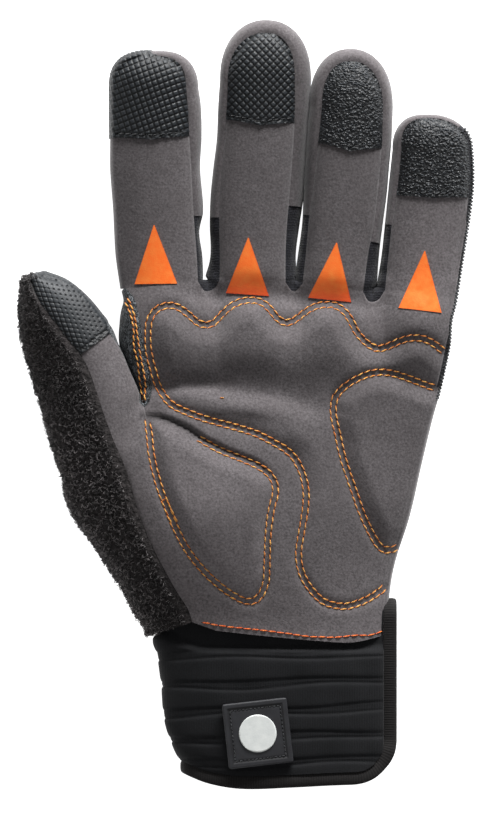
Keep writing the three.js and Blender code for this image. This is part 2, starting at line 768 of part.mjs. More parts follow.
// Suede side strips of the fingers
function fourchette(name) {
  const boundary = fingerBoundary(name);
  const side = FINGER_ROWS + CAP_ROWS;
  const from = name === 'index' ? INDEX_ROLL_END : gussetRow;
  const to = name === 'little' ? side + FINGER_COLUMNS : boundary.length - gussetRow;
  return solid(`${name}_fourchette`, (sheet) => {
    sheet.patch(sideStrip(trimmed(boundary.slice(from, to)), { wall: GUSSET_WALL }));
  }, SUEDE);
}

// Black stretch gussets round the bottoms of the finger gaps
function crotchGusset(i) {
  const [before, after] = [fingerNames[i], fingerNames[i + 1]];
  const down = column(fingerPlans[before].slice(0, gussetRow + 1), -1).reverse();
  const up = column(fingerPlans[after].slice(0, gussetRow + 1), 0);
  const bottom = topEdge.slice(topEdge.indexOf(down.at(-1)) + 1, topEdge.indexOf(up[0]));
  return solid(`crotch_gusset_${before}_${after}`, (sheet) => {
    sheet.patch(sideStrip(trimmed([...down, ...bottom, ...up]), { wall: GUSSET_WALL }));
  }, BLACK_KNIT);
}

// Pebbled saddle between the index finger and the thumb
function thumbSaddle() {
  const reach = profile(SADDLE_EDGE, 'reach');
  const palmSide = column(palmGrid.slice(0, CROTCH_ROW + 1), 0).map((p) => ({ ...p, reach: reach(p.y) }));
  const thumbSide = column(thumbGrid.slice(1, THUMB_BASE), -1)
    .map((p, k) => ({ ...p, reach: THUMB_ROWS[k + 1].reachRight }));
  return solid('thumb_saddle', (sheet) => {
    sheet.patch(sideStrip(trimmed([...thumbSide, ...palmSide.reverse()]), { wall: GUSSET_WALL }));
  }, PEBBLE);
}

// Terry round the outside, tip and back of the thumb, down to the hem
function thumbBack() {
  const reach = profile(TERRY_SEAM, 'reach');
  const lower = column(thumbGrid.slice(THUMB_BASE), 0).map((p) => ({ ...p, reach: reach(p.y) }));
  const join = thumbGrid[THUMB_BASE].map((p, i) => slide(p, thumbGrid[THUMB_BASE - 1][i], SEAM_GAP));
  const backRows = [...thumbGrid.slice(0, THUMB_BASE), join];
  const upper = column(backRows, 0).map((p, k) => ({
    ...p,
    reach: (THUMB_ROWS[k] ?? TERRY_SEAM[0]).reachLeft ?? lower[0].reach,
  }));
  const tip = thumbGrid[0].slice(1).map((p) => ({ ...p, reach: THUMB_TIP_REACH }));
  const style = { wall: TERRY_WALL, segments: TERRY_SEGMENTS };
  return solid('thumb_back', (sheet) => {
    const tipSide = sideStrip([lower[0], ...upper.reverse(), ...tip], { ...style, backGap: 0 }).slice(1);
    const wristLine = [...lower.reverse(), upper[0]];
    const wristSide = sideStrip(wristLine, { ...style, backGap: 2 * SEAM_GAP });
    sheet.patch([...wristSide.slice(0, -1), ...tipSide]);
    sheet.patch(backRows.map((row) => row.map((p) => backPair(p, TERRY_WALL))));
  }, TERRY);
}

// A thin skin over part of the palm panel
function skin(name, rows, look) {
  return solid(name, (sheet) => {
    sheet.patch(rows.map((row) => row.map((p) => ({
      outer: vector(p.x, p.y, p.front + SKIN_CLEARANCE + SKIN_WALL),
      inner: vector(p.x, p.y, p.front + SKIN_CLEARANCE),
    }))));
  }, look);
}

function tipPatch(name) {
  const look = name === 'index' || name === 'middle' ? GRIP : PEBBLE;
  return skin(`${name}_tip_patch`, fingerPlans[name].slice(PATCH_ROW), look);
}

// A printed triangle laid on the palm panel
function printedTriangle(name, palm) {
  const [apex, left, right] = TRIANGLES[name];
  const rows = Array.from({ length: TRIANGLE_STEPS + 1 }, (_, j) => {
    const down = lerp(TRIANGLE_TIP, 1, j / TRIANGLE_STEPS);
    return Array.from({ length: TRIANGLE_STEPS + 1 }, (__, i) => {
      const across = i / TRIANGLE_STEPS;
      const x = lerp(apex.x, lerp(left.x, right.x, across), down);
      const y = lerp(apex.y, lerp(left.y, right.y, across), down);
      return { x, y, front: palm.sheet.heightAt(x, y) };
    });
  });
  return skin(`${name}_triangle`, rows, PRINT);
}

// The cuff
const cuffLeft = profile(CUFF.sections, 'left');
const cuffRight = profile(CUFF.sections, 'right');

// A point of the cuff at an angle round the wrist, a depth in from its outer face
function cuffPoint(angle, y, depth) {
  const tucked = smooth(CUFF.tuckStart, CUFF.tuckEnd, y);
  const away = Math.min(...CUFF.valleys.map((at) => Math.abs(y - at)));
  const valley = Math.exp(-((away / CUFF.valleyHalfWidth) ** 2));
  const inset = depth + CUFF.tuck * tucked + CUFF.ribDepth * valley * (1 - tucked);
  const halfWidth = (cuffRight(y) - cuffLeft(y)) / 2;
  const centre = (cuffRight(y) + cuffLeft(y)) / 2;
  const extra = Math.sin(angle) < 0 ? CUFF.extraBack * (1 - tucked) : 0;
  const power = 2 / WRIST.squareness;
  const across = Math.sign(Math.cos(angle)) * Math.abs(Math.cos(angle)) ** power;
  const up = Math.sign(Math.sin(angle)) * Math.abs(Math.sin(angle)) ** power;
  const z = WRIST.z + up * (WRIST.halfHeight + extra - inset);
  return vector(Math.min(CUFF.edgeX, centre + across * (halfWidth - inset)), y, Math.max(depth, z));
}

// The cuff's mouth at a place across it, with the rounded corner beside the vent
const mouthLine = profile(CUFF.mouth, 'y', 'x');

function mouthY(x) {
  const radius = CUFF.cornerRadius;
  const past = clamp(x - (CUFF.edgeX - radius), 0, radius);
  return mouthLine(x) + radius - Math.sqrt(radius * radius - past * past);
}

// Angles round the wrist, closer together beside the vent
const cuffAngles = Array.from({ length: CUFF_COLUMNS + 1 }, (_, i) => {
  const t = i / CUFF_COLUMNS;
  const share = t - CUFF_CROWDING * Math.sin(2 * Math.PI * t);
  return lerp(CUFF.openAngle, 2 * Math.PI - CUFF.openAngle, share);
});

// The cuff's points from the hem to the mouth at one angle, with the last ones on the mouth's slant
function cuffColumn(angle, depth) {
  const start = CUFF.slantStart;
  const end = CUFF.rows.at(-1);
  const lift = mouthY(cuffPoint(angle, end, 0).x) - end;
  return CUFF.rows.map((y) => {
    const share = clamp((y - start) / (end - start), 0, 1);
    return cuffPoint(angle, y + lift * share, depth);
  });
}

function cuff() {
  return solid('cuff', (sheet) => {
    sheet.patch(cuffAngles.map((angle) => {
      const inside = cuffColumn(angle, CUFF_WALL);
      return cuffColumn(angle, 0).map((outer, j) => ({ outer, inner: inside[j] }));
    }));
  }, NEOPRENE);
}

// Stations along the tape: a point on the cuff's edge, the way out from it and the way up
function bindingStations() {
  const { edgeX, cornerRadius } = CUFF;
  const { ventTopY, ventRows } = BINDING;
  const side = vector(1, 0, 0);
  const columns = cuffAngles.map((angle) => cuffColumn(angle, CUFF_WALL / 2));
  const frontZ = columns[0].at(-2).z;
  const backZ = columns.at(-1).at(-2).z;
  const turnRadius = (frontZ - backZ) / 2;
  const turnCentre = vector(edgeX, ventTopY - turnRadius, (frontZ + backZ) / 2);
  const turn = Array.from({ length: VENT_TURN_SEGMENTS + 1 }, (_, k) => {
    const angle = Math.PI * (k / VENT_TURN_SEGMENTS - 0.5);
    const up = vector(0, Math.cos(angle), Math.sin(angle));
    return { point: turnCentre.clone().addScaledVector(up, turnRadius), out: side, up };
  });
  const along = (z, up) => ventRows.map((y) => ({ point: vector(edgeX, y, z), out: side, up }));
  const mouth = columns.map((middle, i) => {
    const point = middle.at(-1);
    const up = cuffColumn(cuffAngles[i], 0).at(-1).sub(point).setY(0).normalize();
    const past = clamp(point.x - (edgeX - cornerRadius), 0, cornerRadius) / cornerRadius;
    const atVent = i === 0 || i === CUFF_COLUMNS;
    return { point, out: atVent ? side : vector(past, -Math.sqrt(1 - past * past), 0), up };
  });
  const down = along(frontZ, vector(0, 0, 1));
  const back = along(backZ, vector(0, 0, -1)).reverse();
  return [...turn, ...down, ...mouth, ...back];
}

// Tape round the cuff's mouth and both sides of its vent, as one closed loop
function cuffBinding() {
  const [half, fold] = [BINDING.thickness / 2, BINDING.foldThickness / 2];
  const corners = [[0, half], [BINDING.width, fold], [BINDING.width, -fold], [0, -half]];
  const rings = bindingStations().map(({ point, out, up }) => corners.map(([across, rise]) => (
    point.clone().addScaledVector(out, SEAM_GAP + across).addScaledVector(up, rise)
  )));
  const faces = [];
  rings.forEach((_, k) => {
    corners.forEach((__, c) => {
      const ring = k * corners.length;
      const nextRing = ((k + 1) % rings.length) * corners.length;
      const nextCorner = (c + 1) % corners.length;
      const [a, b, d, e] = [ring + c, ring + nextCorner, nextRing + nextCorner, nextRing + c];
      faces.push(a, d, b, a, e, d);
    });
  });
  const geometry = new THREE.BufferGeometry();
  geometry.setFromPoints(rings.flat());
  geometry.setIndex(faces);
  geometry.computeVertexNormals();
  const mesh = new THREE.Mesh(geometry, new THREE.MeshStandardMaterial(TAPE));
  mesh.name = 'cuff_binding';
  return mesh;
}

// Rubber label with a raised rim, and the plain disc on it
function label() {
  const half = LABEL.side / 2;
  const inside = half - LABEL.rim;
  const bevel = inside + LABEL.bevel;
  const steps = [-half, -bevel, -inside, inside, bevel, half];
  const isRim = (i) => i < 2 || i > 3;
  const plate = solid('label_patch', (sheet) => {
    sheet.patch(steps.map((y, j) => steps.map((x, i) => ({
      outer: vector(x, y, LABEL.wall + (isRim(i) || isRim(j) ? LABEL.rimRise : 0)),
      inner: vector(x, y, 0),
    }))));
  }, RUBBER);
  const disc = new THREE.Mesh(
    new THREE.CylinderGeometry(DISC.radius, DISC.radius, DISC.wall, DISC.segments),
    new THREE.MeshStandardMaterial(EMBLEM),
  );
  disc.name = 'label_disc';
  disc.rotation.x = Math.PI / 2;
  disc.position.z = LABEL.wall + SEAM_GAP + DISC.wall / 2;
  const patch = new THREE.Group();
  patch.add(plate, disc);
  patch.position.set(LABEL.x, LABEL.y, WRIST.z + WRIST.halfHeight + SEAM_GAP);
  patch.rotation.z = LABEL.turn;
  return patch;
}

const group = new THREE.Group();
const palm = palmPanel();
group.add(palm, backPanel());
fingerNames.forEach((name) => group.add(fourchette(name)));
[0, 1, 2].forEach((i) => group.add(crotchGusset(i)));
fingerNames.forEach((name) => group.add(tipPatch(name)));
group.add(skin('thumb_tip_patch', thumbGrid.slice(0, 5), GRIP));
fingerNames.forEach((name) => group.add(printedTriangle(name, palm)));
group.add(thumbSaddle(), thumbBack(), cuff(), cuffBinding(), label());

export default group;
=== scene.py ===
import bpy
import numpy as np
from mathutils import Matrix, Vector, noise
from mathutils.bvhtree import BVHTree


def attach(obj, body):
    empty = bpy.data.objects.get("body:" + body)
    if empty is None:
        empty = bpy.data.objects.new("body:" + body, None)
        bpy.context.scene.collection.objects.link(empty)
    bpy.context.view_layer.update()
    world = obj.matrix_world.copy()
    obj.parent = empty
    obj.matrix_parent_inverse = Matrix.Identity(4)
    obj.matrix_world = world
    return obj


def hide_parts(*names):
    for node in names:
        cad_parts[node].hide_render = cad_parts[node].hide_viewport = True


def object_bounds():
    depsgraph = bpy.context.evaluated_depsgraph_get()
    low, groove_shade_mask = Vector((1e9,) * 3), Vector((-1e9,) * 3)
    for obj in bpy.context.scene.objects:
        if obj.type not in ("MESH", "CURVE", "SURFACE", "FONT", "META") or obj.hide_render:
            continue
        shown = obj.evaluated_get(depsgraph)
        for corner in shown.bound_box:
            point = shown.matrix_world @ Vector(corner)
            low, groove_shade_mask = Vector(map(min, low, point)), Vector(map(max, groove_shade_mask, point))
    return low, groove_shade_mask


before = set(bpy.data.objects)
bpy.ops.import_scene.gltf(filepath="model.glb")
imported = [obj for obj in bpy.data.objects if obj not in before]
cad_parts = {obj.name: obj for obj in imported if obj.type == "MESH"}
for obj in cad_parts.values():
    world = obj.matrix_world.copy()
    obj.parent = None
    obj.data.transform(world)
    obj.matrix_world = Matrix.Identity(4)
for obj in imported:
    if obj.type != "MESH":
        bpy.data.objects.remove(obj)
cad_low, cad_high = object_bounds()
random = np.random.default_rng(7)

# Driving dimensions. They are the solids' own, but for the seam gap, the palm's crown, the folds
# and pads, the cuff's ribs and mouth, the binding's width and the label's rim.
PALM_WALL = 2.0
BACK_WALL = 1.5
GUSSET_WALL = 1.0
TERRY_WALL = 2.0
CUFF_WALL = 2.2
SEAM_GAP = -0.15

SEAM_HEIGHT = 17.5
SEAM_DROP = 1.5
FINGER_CROWN = 3.2
CROWN_SHAPE = 2.2
PALM_CROWN = 3.2
THUMB_CROWN = 1.6
THUMB_BACK_CROWN = 1.5
BACK_EDGE_RISE = 2.2
CROTCH_REACH = 5.0
LEAST_REACH = 0.25
FINGERTIP_LIFT = 5.0
EDGE_REACH = 1.6
HEM_REACH = 1.2
KNIT_EDGE_END = 4
THUMB_TIP_REACH = 1.6
EDGE_BACK = 4.2
WRIST_X, WRIST_Z = 6.2, 11
WRIST_HALF_WIDTH, WRIST_HALF_HEIGHT = 40.2, 11
WRIST_SQUARENESS = 2.6

# How finely the sheets are divided
FINGER_COLUMNS = 28
FINGER_ROWS = 80
CAP_ROWS = 16
CROTCH_COLUMNS = 12
SADDLE_ROWS = 63
THENAR_ROWS = 81
THUMB_COLUMNS = 20
THUMB_LINES = 60
STRIP_SEGMENTS = 14
PATCH_SHARE = 0.75
GRIP_STEP = 0.22
GRIP_LIFT, GRIP_RELIEF = 0.35, 0.34

# Sewing
ROW_SPACING = 1.9
STITCH_PITCH = 2.45
THREAD_RADIUS = 0.23
SEAM_DIP = 0.6
PAD_GROOVE = 0.65
GROOVE_HALF_WIDTH = 1.7


def columns(names, rows):
    """A short table with named columns."""
    return dict(zip(names.split(), np.array(rows, float).T))


# Each finger from its base to where its tip starts to round. left and right are the front
# seams, and the reaches say how far the side walls bulge out past them. patch gives the lower
# edge of the tip patch at its left, middle and right.
FINGERS = {
    "index": dict(
        base=(38.5, 40.6), patch_y=88.4, patch=(87.8, 87.1, 88.4), tip=114.8, tip_reach=1.9,
        squareness=2.8, lean=0, dips=(0, 1), gusset=(60, 61.4),
        rows=columns("y left right reachLeft reachRight", [
            (38, -40.1, -15.9, 1.6, 1.7),
            (49, -41.4, -16.4, 1.9, 1.8),
            (57, -41.8, -17.0, 2.0, 1.4),
            (64, -42.1, -17.5, 2.0, 3.2),
            (78, -43.1, -18.2, 2.0, 2.9),
            (88, -43.1, -18.8, 2.0, 4.0),
            (98, -43.2, -19.3, 2.0, 4.3),
            (104, -43.2, -19.9, 2.0, 4.1),
        ]),
    ),
    "middle": dict(
        base=(41.5, 40.2), patch_y=92, patch=(93.9, 91.7, 92.8), tip=122.3, tip_reach=4.7,
        squareness=2.25, lean=1.3, dips=(1, 1), gusset=(61, 65),
        rows=columns("y left right reachLeft reachRight", [
            (40, -8.9, 12.9, 5.2, 4.2),
            (49, -8.8, 12.9, 3.2, 3.4),
            (60, -9.0, 13.4, 3.2, 4.2),
            (69, -8.8, 14.2, 3.1, 4.7),
            (78, -8.1, 14.9, 2.9, 4.5),
            (88, -7.1, 15.6, 2.7, 4.4),
            (98, -6.4, 15.9, 3.0, 5.0),
            (107, -6.1, 15.9, 2.7, 5.5),
        ]),
    ),
    "ring": dict(
        base=(39.8, 37.2), patch_y=85, patch=(86.2, 83.3, 84.5), tip=113, tip_reach=4.5,
        squareness=2.25, lean=-0.6, dips=(1, 1), gusset=(62, 53.3),
        rows=columns("y left right reachLeft reachRight", [
            (37, 18.2, 38.4, 3.0, 4.6),
            (50, 19.6, 40.2, 2.5, 3.7),
            (60, 20.5, 42.1, 2.1, 3.0),
            (70, 21.8, 43.3, 3.0, 3.1),
            (79, 22.8, 44.1, 3.7, 3.1),
            (88, 23.9, 44.7, 4.2, 3.3),
            (98, 24.9, 44.9, 4.2, 3.5),
        ]),
    ),
    "little": dict(
        base=(37.8, 34.5), patch_y=68.4, patch=(68.9, 67.9, 68.2), tip=94.3, tip_reach=1.5,
        squareness=2.4, lean=-2.2, dips=(1, 1), gusset=(59, 60),
        rows=columns("y left right reachLeft reachRight", [
            (34, 45.3, 67.9, 3.2, 1.4),
            (48, 46.7, 70.1, 2.2, 1.4),
            (60, 48.0, 72.0, 2.2, 1.4),
            (70, 49.6, 73.3, 2.8, 1.4),
            (78, 50.5, 73.5, 2.9, 1.4),
            (84, 51.0, 73.1, 2.8, 1.4),
        ]),
    ),
}
NAMES = list(FINGERS)

CROTCH_BOTTOMS = [
    [(-13.7, 37.4), (-10.7, 38.3)],
    [(15.4, 37.3)],
    [(40.4, 34.0), (43.3, 34.4)],
]
CROTCH_SPANS = [3, 2, 3]

SADDLE_EDGE = columns("x y z reach", [
    (-40.1, 38.5, 17.5, 1.6),
    (-37.3, 35.4, 18.3, 4.0),
    (-35.4, 29.0, 19.6, 6.6),
    (-34.0, 20.5, 20.6, 8.0),
    (-32.3, 11.5, 21.2, 6.4),
    (-31.3, 5.0, 21.6, 4.2),
    (-32.2, 0.8, 21.9, 1.6),
    (-33.7, -0.8, 22.0, 1.3),
])

THENAR_LINE = columns("x y z", [
    (-31.6, -9.5, 23.8),
    (-29.5, -18.5, 25.0),
    (-27.0, -27.5, 25.5),
    (-24.4, -36.0, 25.4),
    (-21.5, -45.0, 24.9),
    (-18.5, -53.0, 24.2),
    (-15.0, -61.0, 23.0),
    (-12.0, -68.5, 21.9),
    (-10.0, -74.4, 21.6),
])

THUMB = columns("k seamX seamY seamZ edgeX edgeY edgeZ backZ reachLeft reachRight", [
    (0, -71.3, 41.1, 20.0, -66.8, 42.2, 19.0, 9.0, 3.0, 1.3),
    (1, -69.0, 35.6, 22.6, -60.2, 39.6, 20.2, 7.5, 6.8, 1.5),
    (2, -65.4, 30.3, 24.2, -54.0, 34.6, 20.8, 6.6, 11.4, 1.6),
    (3, -59.2, 22.3, 25.4, -48.6, 28.2, 21.2, 5.8, 16.0, 1.6),
    (4, -54.5, 16.3, 26.0, -44.9, 23.4, 21.4, 5.2, 18.5, 1.5),
    (5, -51.5, 10.5, 26.4, -41.2, 17.5, 21.5, 4.8, 19.0, 1.4),
    (6, -49.3, 4.2, 26.7, -38.4, 11.0, 21.6, 4.4, 19.0, 1.3),
    (7, -47.2, -2.4, 26.9, -35.6, 4.5, 21.8, 4.0, 19.6, 1.3),
    (8, -44.6, -9.4, 27.0, -35.2, 0.6, 21.9, 3.6, 20.0, 1.2),
])

TERRY_SEAM = columns("x y z backZ reach", [
    (-44.0, -11.2, 27.0, 3.4, 20.2),
    (-42.1, -15.4, 27.0, 3.4, 20.4),
    (-38.7, -24.0, 26.7, 3.2, 22.0),
    (-36.6, -31.8, 26.3, 3.1, 20.9),
    (-34.0, -39.5, 25.6, 3.1, 17.9),
    (-30.4, -47.8, 24.8, 3.1, 16.1),
    (-26.8, -54.8, 23.8, 2.7, 15.4),
    (-22.9, -61.8, 22.4, 2.1, 15.6),
    (-19.4, -67.4, 21.2, 1.7, 15.6),
    (-17.9, -71.6, 20.9, 1.6, 16.0),
])

OUTER_EDGE = columns("x y z", [
    (67.9, 34.5, 17.5),
    (66.2, 27.5, 17.4),
    (65.7, 20.0, 17.0),
    (64.1, 12.0, 16.4),
    (62.3, 4.1, 15.8),
    (60.1, -3.8, 15.4),
    (56.3, -19.6, 15.0),
    (52.7, -35.5, 15.0),
    (48.0, -51.3, 15.4),
    (46.2, -62.0, 15.8),
    (45.2, -76.2, 16.3),
])

HEM = columns("x y", [(-10.0, -74.4), (3.7, -75.9), (23.9, -77.8), (35.0, -78.3), (45.2, -76.2)])

# The outer line of each pad's double row of stitches. offset turns it towards the pad.
PAD_SEAMS = {
    "knuckle": dict(offset=1, rise=2.0, low=0.45, shoulder=7.5, line=[
        (65.5, 18.2), (62.0, 21.0), (58.3, 22.6), (54.6, 22.9), (50.4, 21.9), (46.2, 20.0),
        (43.0, 19.3), (39.8, 21.2), (37.0, 24.4), (34.7, 29.0), (32.3, 31.8), (29.6, 33.5),
        (26.3, 33.8), (22.5, 33.2), (18.8, 31.2), (15.5, 28.6), (13.2, 27.7), (10.9, 28.8),
        (8.2, 32.3), (4.9, 34.7), (1.7, 35.3), (-2.0, 34.8), (-5.8, 33.0), (-9.0, 30.0),
        (-11.8, 27.3), (-15.0, 27.3), (-18.7, 30.5), (-22.4, 33.0), (-25.2, 33.6), (-28.0, 33.1),
        (-30.8, 31.4), (-32.8, 28.1), (-33.3, 23.0), (-33.1, 17.5), (-31.4, 10.5), (-29.5, 4.7),
        (-25.3, -0.7), (-20.2, -3.3), (-13.3, -5.8), (-4.8, -8.1), (2.6, -10.4), (9.4, -13.8),
        (14.0, -16.9), (16.8, -21.4), (18.5, -27.2), (18.4, -34.0), (17.1, -41.9), (16.2, -47.6),
        (16.3, -52.0), (17.7, -56.9), (20.5, -61.5), (24.9, -65.7), (31.8, -67.4), (38.1, -66.0),
        (43.9, -62.8), (46.2, -61.0),
    ]),
    "heel": dict(offset=1, rise=1.9, low=1, shoulder=7, line=[
        (62.2, 6.4), (57.8, 7.9), (52.1, 10.1), (46.4, 11.5), (40.8, 11.2), (35.0, 8.8),
        (30.6, 5.7), (28.1, 2.2), (27.6, -2.8), (29.0, -9.8), (31.0, -18.6), (33.8, -26.8),
        (36.9, -35.7), (40.1, -42.6), (43.3, -47.7), (46.1, -49.1), (50.2, -48.0),
    ]),
    "thenar": dict(offset=1, rise=1.6, low=1, shoulder=6, line=[
        (-21.8, -6.4), (-28.5, -3.8), (-33.2, -5.0), (-32.8, -9.6), (-32.4, -14.7), (-31.2, -20.9),
        (-29.5, -27.2), (-27.6, -32.3), (-24.1, -40.8), (-20.2, -48.2), (-15.6, -54.2),
        (-9.9, -59.8), (-4.8, -63.5), (0.6, -65.8), (4.3, -64.6), (7.1, -59.5), (7.7, -52.1),
        (8.0, -43.1), (9.1, -34.6), (10.5, -28.9), (10.0, -24.9), (7.1, -21.2), (2.6, -18.6),
        (-2.0, -16.6), (-7.7, -14.4), (-16.2, -9.7), (-21.8, -6.4),
    ]),
}

# Folds: lines of x, y and depth, and their half width on the fingers' side and below
FOLDS = [
    dict(above=3.0, below=2.4, line=[(-31, 5.4, 1.3), (-24, 6.2, 2.0), (-14, 6.4, 1.6), (-6, 6.0, 0.6)]),
    dict(above=7.0, below=4.0, line=[
        (-16, 7.0, 0.7), (-5, 6.0, 1.5), (4, 4.4, 1.8), (12, 2.6, 1.9), (20, 0.5, 1.5), (27, -2.0, 0.5),
    ]),
    dict(above=1.0, below=0.6, line=[
        (-34.5, -3.6, 0.5), (-29, -4.2, 0.8), (-25.2, -5.3, 1.0), (-19.1, -8.2, 1.2), (-14.7, -11.3, 1.4),
        (-5.8, -15.7, 1.1), (3.0, -19.0, 0.6), (6.5, -21.5, 0.2),
    ]),
]
ROOT_FOLD = dict(above=4.5, below=3.0, line=[
    (-20, 36.5, 0.5), (-10, 35.4, 2.0), (2, 36.4, 2.4), (16, 34.6, 2.0), (28, 34.6, 2.4), (41, 32.6, 1.2),
])

# Low domes: x, y, their half widths and height
DOMES = [
    (-4, -1.5, 15, 4.0, 1.0),
    (17, -9, 9, 6, 1.0),
    (-12, -40, 20, 22, 2.4),
    (57, 26, 12, 9, 2.2),
    (36, 10, 8, 6, 0.8),
]

# Painted light and shade on the suede, patches made lighter or darker: x, y, half widths and change
PAINTED_LIGHT_PATCHES = [
    (0, 78, 60, 34, -0.10),
    (62, 52, 12, 30, 0.36),
    (8, -66, 50, 20, 0.3),
    (-14, -28, 14, 14, 0.2),
    (-5, -53, 13, 11, 0.45),
    (-24, -56, 12, 26, 0.25),
    (-16, 19, 13, 8, -0.2),
    (19.5, 78, 3.5, 30, -0.5),
]

TRIANGLES = {
    "index": [(-30.4, 59.4), (-36.9, 39.6), (-22.8, 39.8)],
    "middle": [(0.6, 55.2), (-6.8, 36.7), (7.4, 35.7)],
    "ring": [(29.7, 53.6), (20.3, 35.2), (34.5, 33.7)],
    "little": [(58.7, 50.9), (50.0, 31.8), (64.2, 30.2)],
}

# The cuff and its trim
CUFF_TUCK = 2.5
CUFF_TUCK_Y = -78.7
CUFF_TOP = -68
CUFF_END = -122.3
RIB_DEPTH = 0.85
OPEN_ANGLE = 0.42
CUFF_EDGE_X = 45.3
CORNER_RADIUS = 9
EXTRA_BACK = 1.4
VALLEYS = columns("left right", [
    (-82.8, -82.0), (-93.0, -90.6), (-102.0, -99.6), (-111.2, -108.2), (-118.8, -116.8),
])
CUFF_MOUTH = columns("x y", [
    (-24, -112.5), (-18, -117), (-11, -120.8), (-2, -122.3), (15, -121.8), (30, -121.1), (46, -120.8),
])
CUFF_SECTIONS = columns("y left right", [
    (-122.3, -17.5, 48.4),
    (-118.4, -21.8, 48.5),
    (-106, -26.9, 48.6),
    (-92, -28.4, 48.2),
    (-82.3, -29.8, 47.4),
    (-78.7, -31.0, 46.4),
    (-68, -31.0, 46.4),
])
BINDING_WIDTH = 4.5
BINDING_THICKNESS = 2.2
VENT_TOP_Y = -65

LABEL_X, LABEL_Y, LABEL_SIDE, LABEL_TURN = 3.7, -108.1, 21.4, 0.112
LABEL_WALL, LABEL_RIM, RIM_RISE = 1.2, 1.6, 0.18
DISC_RADIUS, DISC_WALL = 6.2, 0.5


# Small maths
def lerp(a, b, t):
    return a + (b - a) * t


def smooth(start, end, value):
    t = np.clip((value - start) / (end - start), 0, 1)
    return t * t * (3 - 2 * t)


def bell(distance, width):
    return np.exp(-((distance / width) ** 2))


def profile(rows, column, along="y"):
    """A smooth curve through one column of a table, read along another."""
    order = np.argsort(rows[along])
    at, value = rows[along][order], rows[column][order]
    before = np.maximum(np.arange(len(at)) - 1, 0)
    after = np.minimum(np.arange(len(at)) + 1, len(at) - 1)
    slope = (value[after] - value[before]) / (at[after] - at[before])

    def read(position):
        p = np.clip(position, at[0], at[-1])
        i = np.clip(np.searchsorted(at, p, side="right") - 1, 0, len(at) - 2)
        span = at[i + 1] - at[i]
        t = (p - at[i]) / span
        return (
            value[i] * (1 + 2 * t) * (1 - t) ** 2
            + value[i + 1] * t * t * (3 - 2 * t)
            + span * (t - 1) * t * ((t - 1) * slope[i] + t * slope[i + 1])
        )

    return read


def spline(points, step=None, count=None, closed=False):
    """Even points along a smooth line through some points."""
    p = np.array(points, float)
    ends = (p[-2:-1], p[1:2]) if closed else (2 * p[:1] - p[1:2], 2 * p[-1:] - p[-2:-1])
    p = np.concatenate([ends[0], p, ends[1]])
    gaps = np.maximum(np.linalg.norm(np.diff(p, axis=0), axis=1), 1e-6) ** 0.5
    t = np.linspace(0, 1, 16, endpoint=False)[:, None]
    curve = []
    for i in range(1, len(p) - 2):
        g0, g1, g2 = gaps[i - 1 : i + 2]
        d1 = (p[i] - p[i - 1]) / g0 - (p[i + 1] - p[i - 1]) / (g0 + g1) + (p[i + 1] - p[i]) / g1
        d2 = (p[i + 1] - p[i]) / g1 - (p[i + 2] - p[i]) / (g1 + g2) + (p[i + 2] - p[i + 1]) / g2
        curve.append(
            p[i] * (1 + 2 * t) * (1 - t) ** 2 + p[i + 1] * t * t * (3 - 2 * t)
            + g1 * (d1 * t * (1 - t) ** 2 + d2 * t * t * (t - 1))
        )
    return resample(np.concatenate([*curve, p[-2:-1]]), step, count)


def resample(line, step=None, count=None):
    """The same line with its points an even distance apart."""
    length = np.concatenate([[0], np.cumsum(np.linalg.norm(np.diff(line[:, :3], axis=0), axis=1))])
    count = count or max(2, round(length[-1] / step))
    even = np.linspace(0, length[-1], count + 1)
    return np.stack([np.interp(even, length, line[:, k]) for k in range(line.shape[1])], axis=1)


def segment_distance(x, y, a, b):
    """How far plan points are from a segment."""
    dx, dy = b[0] - a[0], b[1] - a[1]
    t = np.clip(((x - a[0]) * dx + (y - a[1]) * dy) / (dx * dx + dy * dy), 0, 1)
    return np.hypot(x - a[0] - t * dx, y - a[1] - t * dy)


def line_distance(x, y, line):
    nearest = np.full(np.shape(x), 1e9)
    for a, b in zip(line[:-1], line[1:]):
        nearest = np.minimum(nearest, segment_distance(x, y, a, b))
    return nearest


def inside_distance(x, y, outline):
    """How far plan points are from a closed outline, positive inside it."""
    inside = np.zeros(np.shape(x), bool)
    for a, b in zip(outline, np.roll(outline, -1, axis=0)):
        if a[1] != b[1]:
            crosses = (a[1] > y) != (b[1] > y)
            inside ^= crosses & (x < (b[0] - a[0]) * (y - a[1]) / (b[1] - a[1]) + a[0])
    distance = line_distance(x, y, np.concatenate([outline, outline[:1]]))
    return np.where(inside, distance, -distance)


def normals_of(line):
    """Plan directions to the left of a line."""
    step = np.gradient(line[:, :2], axis=0)
    turned = np.stack([-step[:, 1], step[:, 0]], axis=1)
    return turned / np.maximum(np.linalg.norm(turned, axis=1, keepdims=True), 1e-9)


def offset(line, distance):
    return line[:, :2] + normals_of(line) * distance


def ripple(points, size, seed=0.0):
    """Soft noise from -1 to 1 at some points, with bumps of about a size in millimetres."""
    flat = np.reshape(points, (-1, points.shape[-1]))
    values = [noise.noise(Vector((p[0] / size + seed, p[1] / size - seed, p[2] / size))) for p in flat]
    return np.reshape(values, points.shape[:-1])


# The plan: points of x, y, front and back heights, and the reach of a side wall there
X, Y, FRONT, BACK, REACH = range(5)


def plan(x, y, front, back, reach=0.0):
    return np.stack(np.broadcast_arrays(x, y, front, back, reach), axis=-1).astype(float)


def fingertip_lift(y):
    return FINGERTIP_LIFT * smooth(40, 127, y)


for finger in FINGERS.values():
    for name in ("left", "right", "reachLeft", "reachRight"):
        finger[name] = profile(finger["rows"], name)
    finger["cap"] = finger["rows"]["y"][-1]


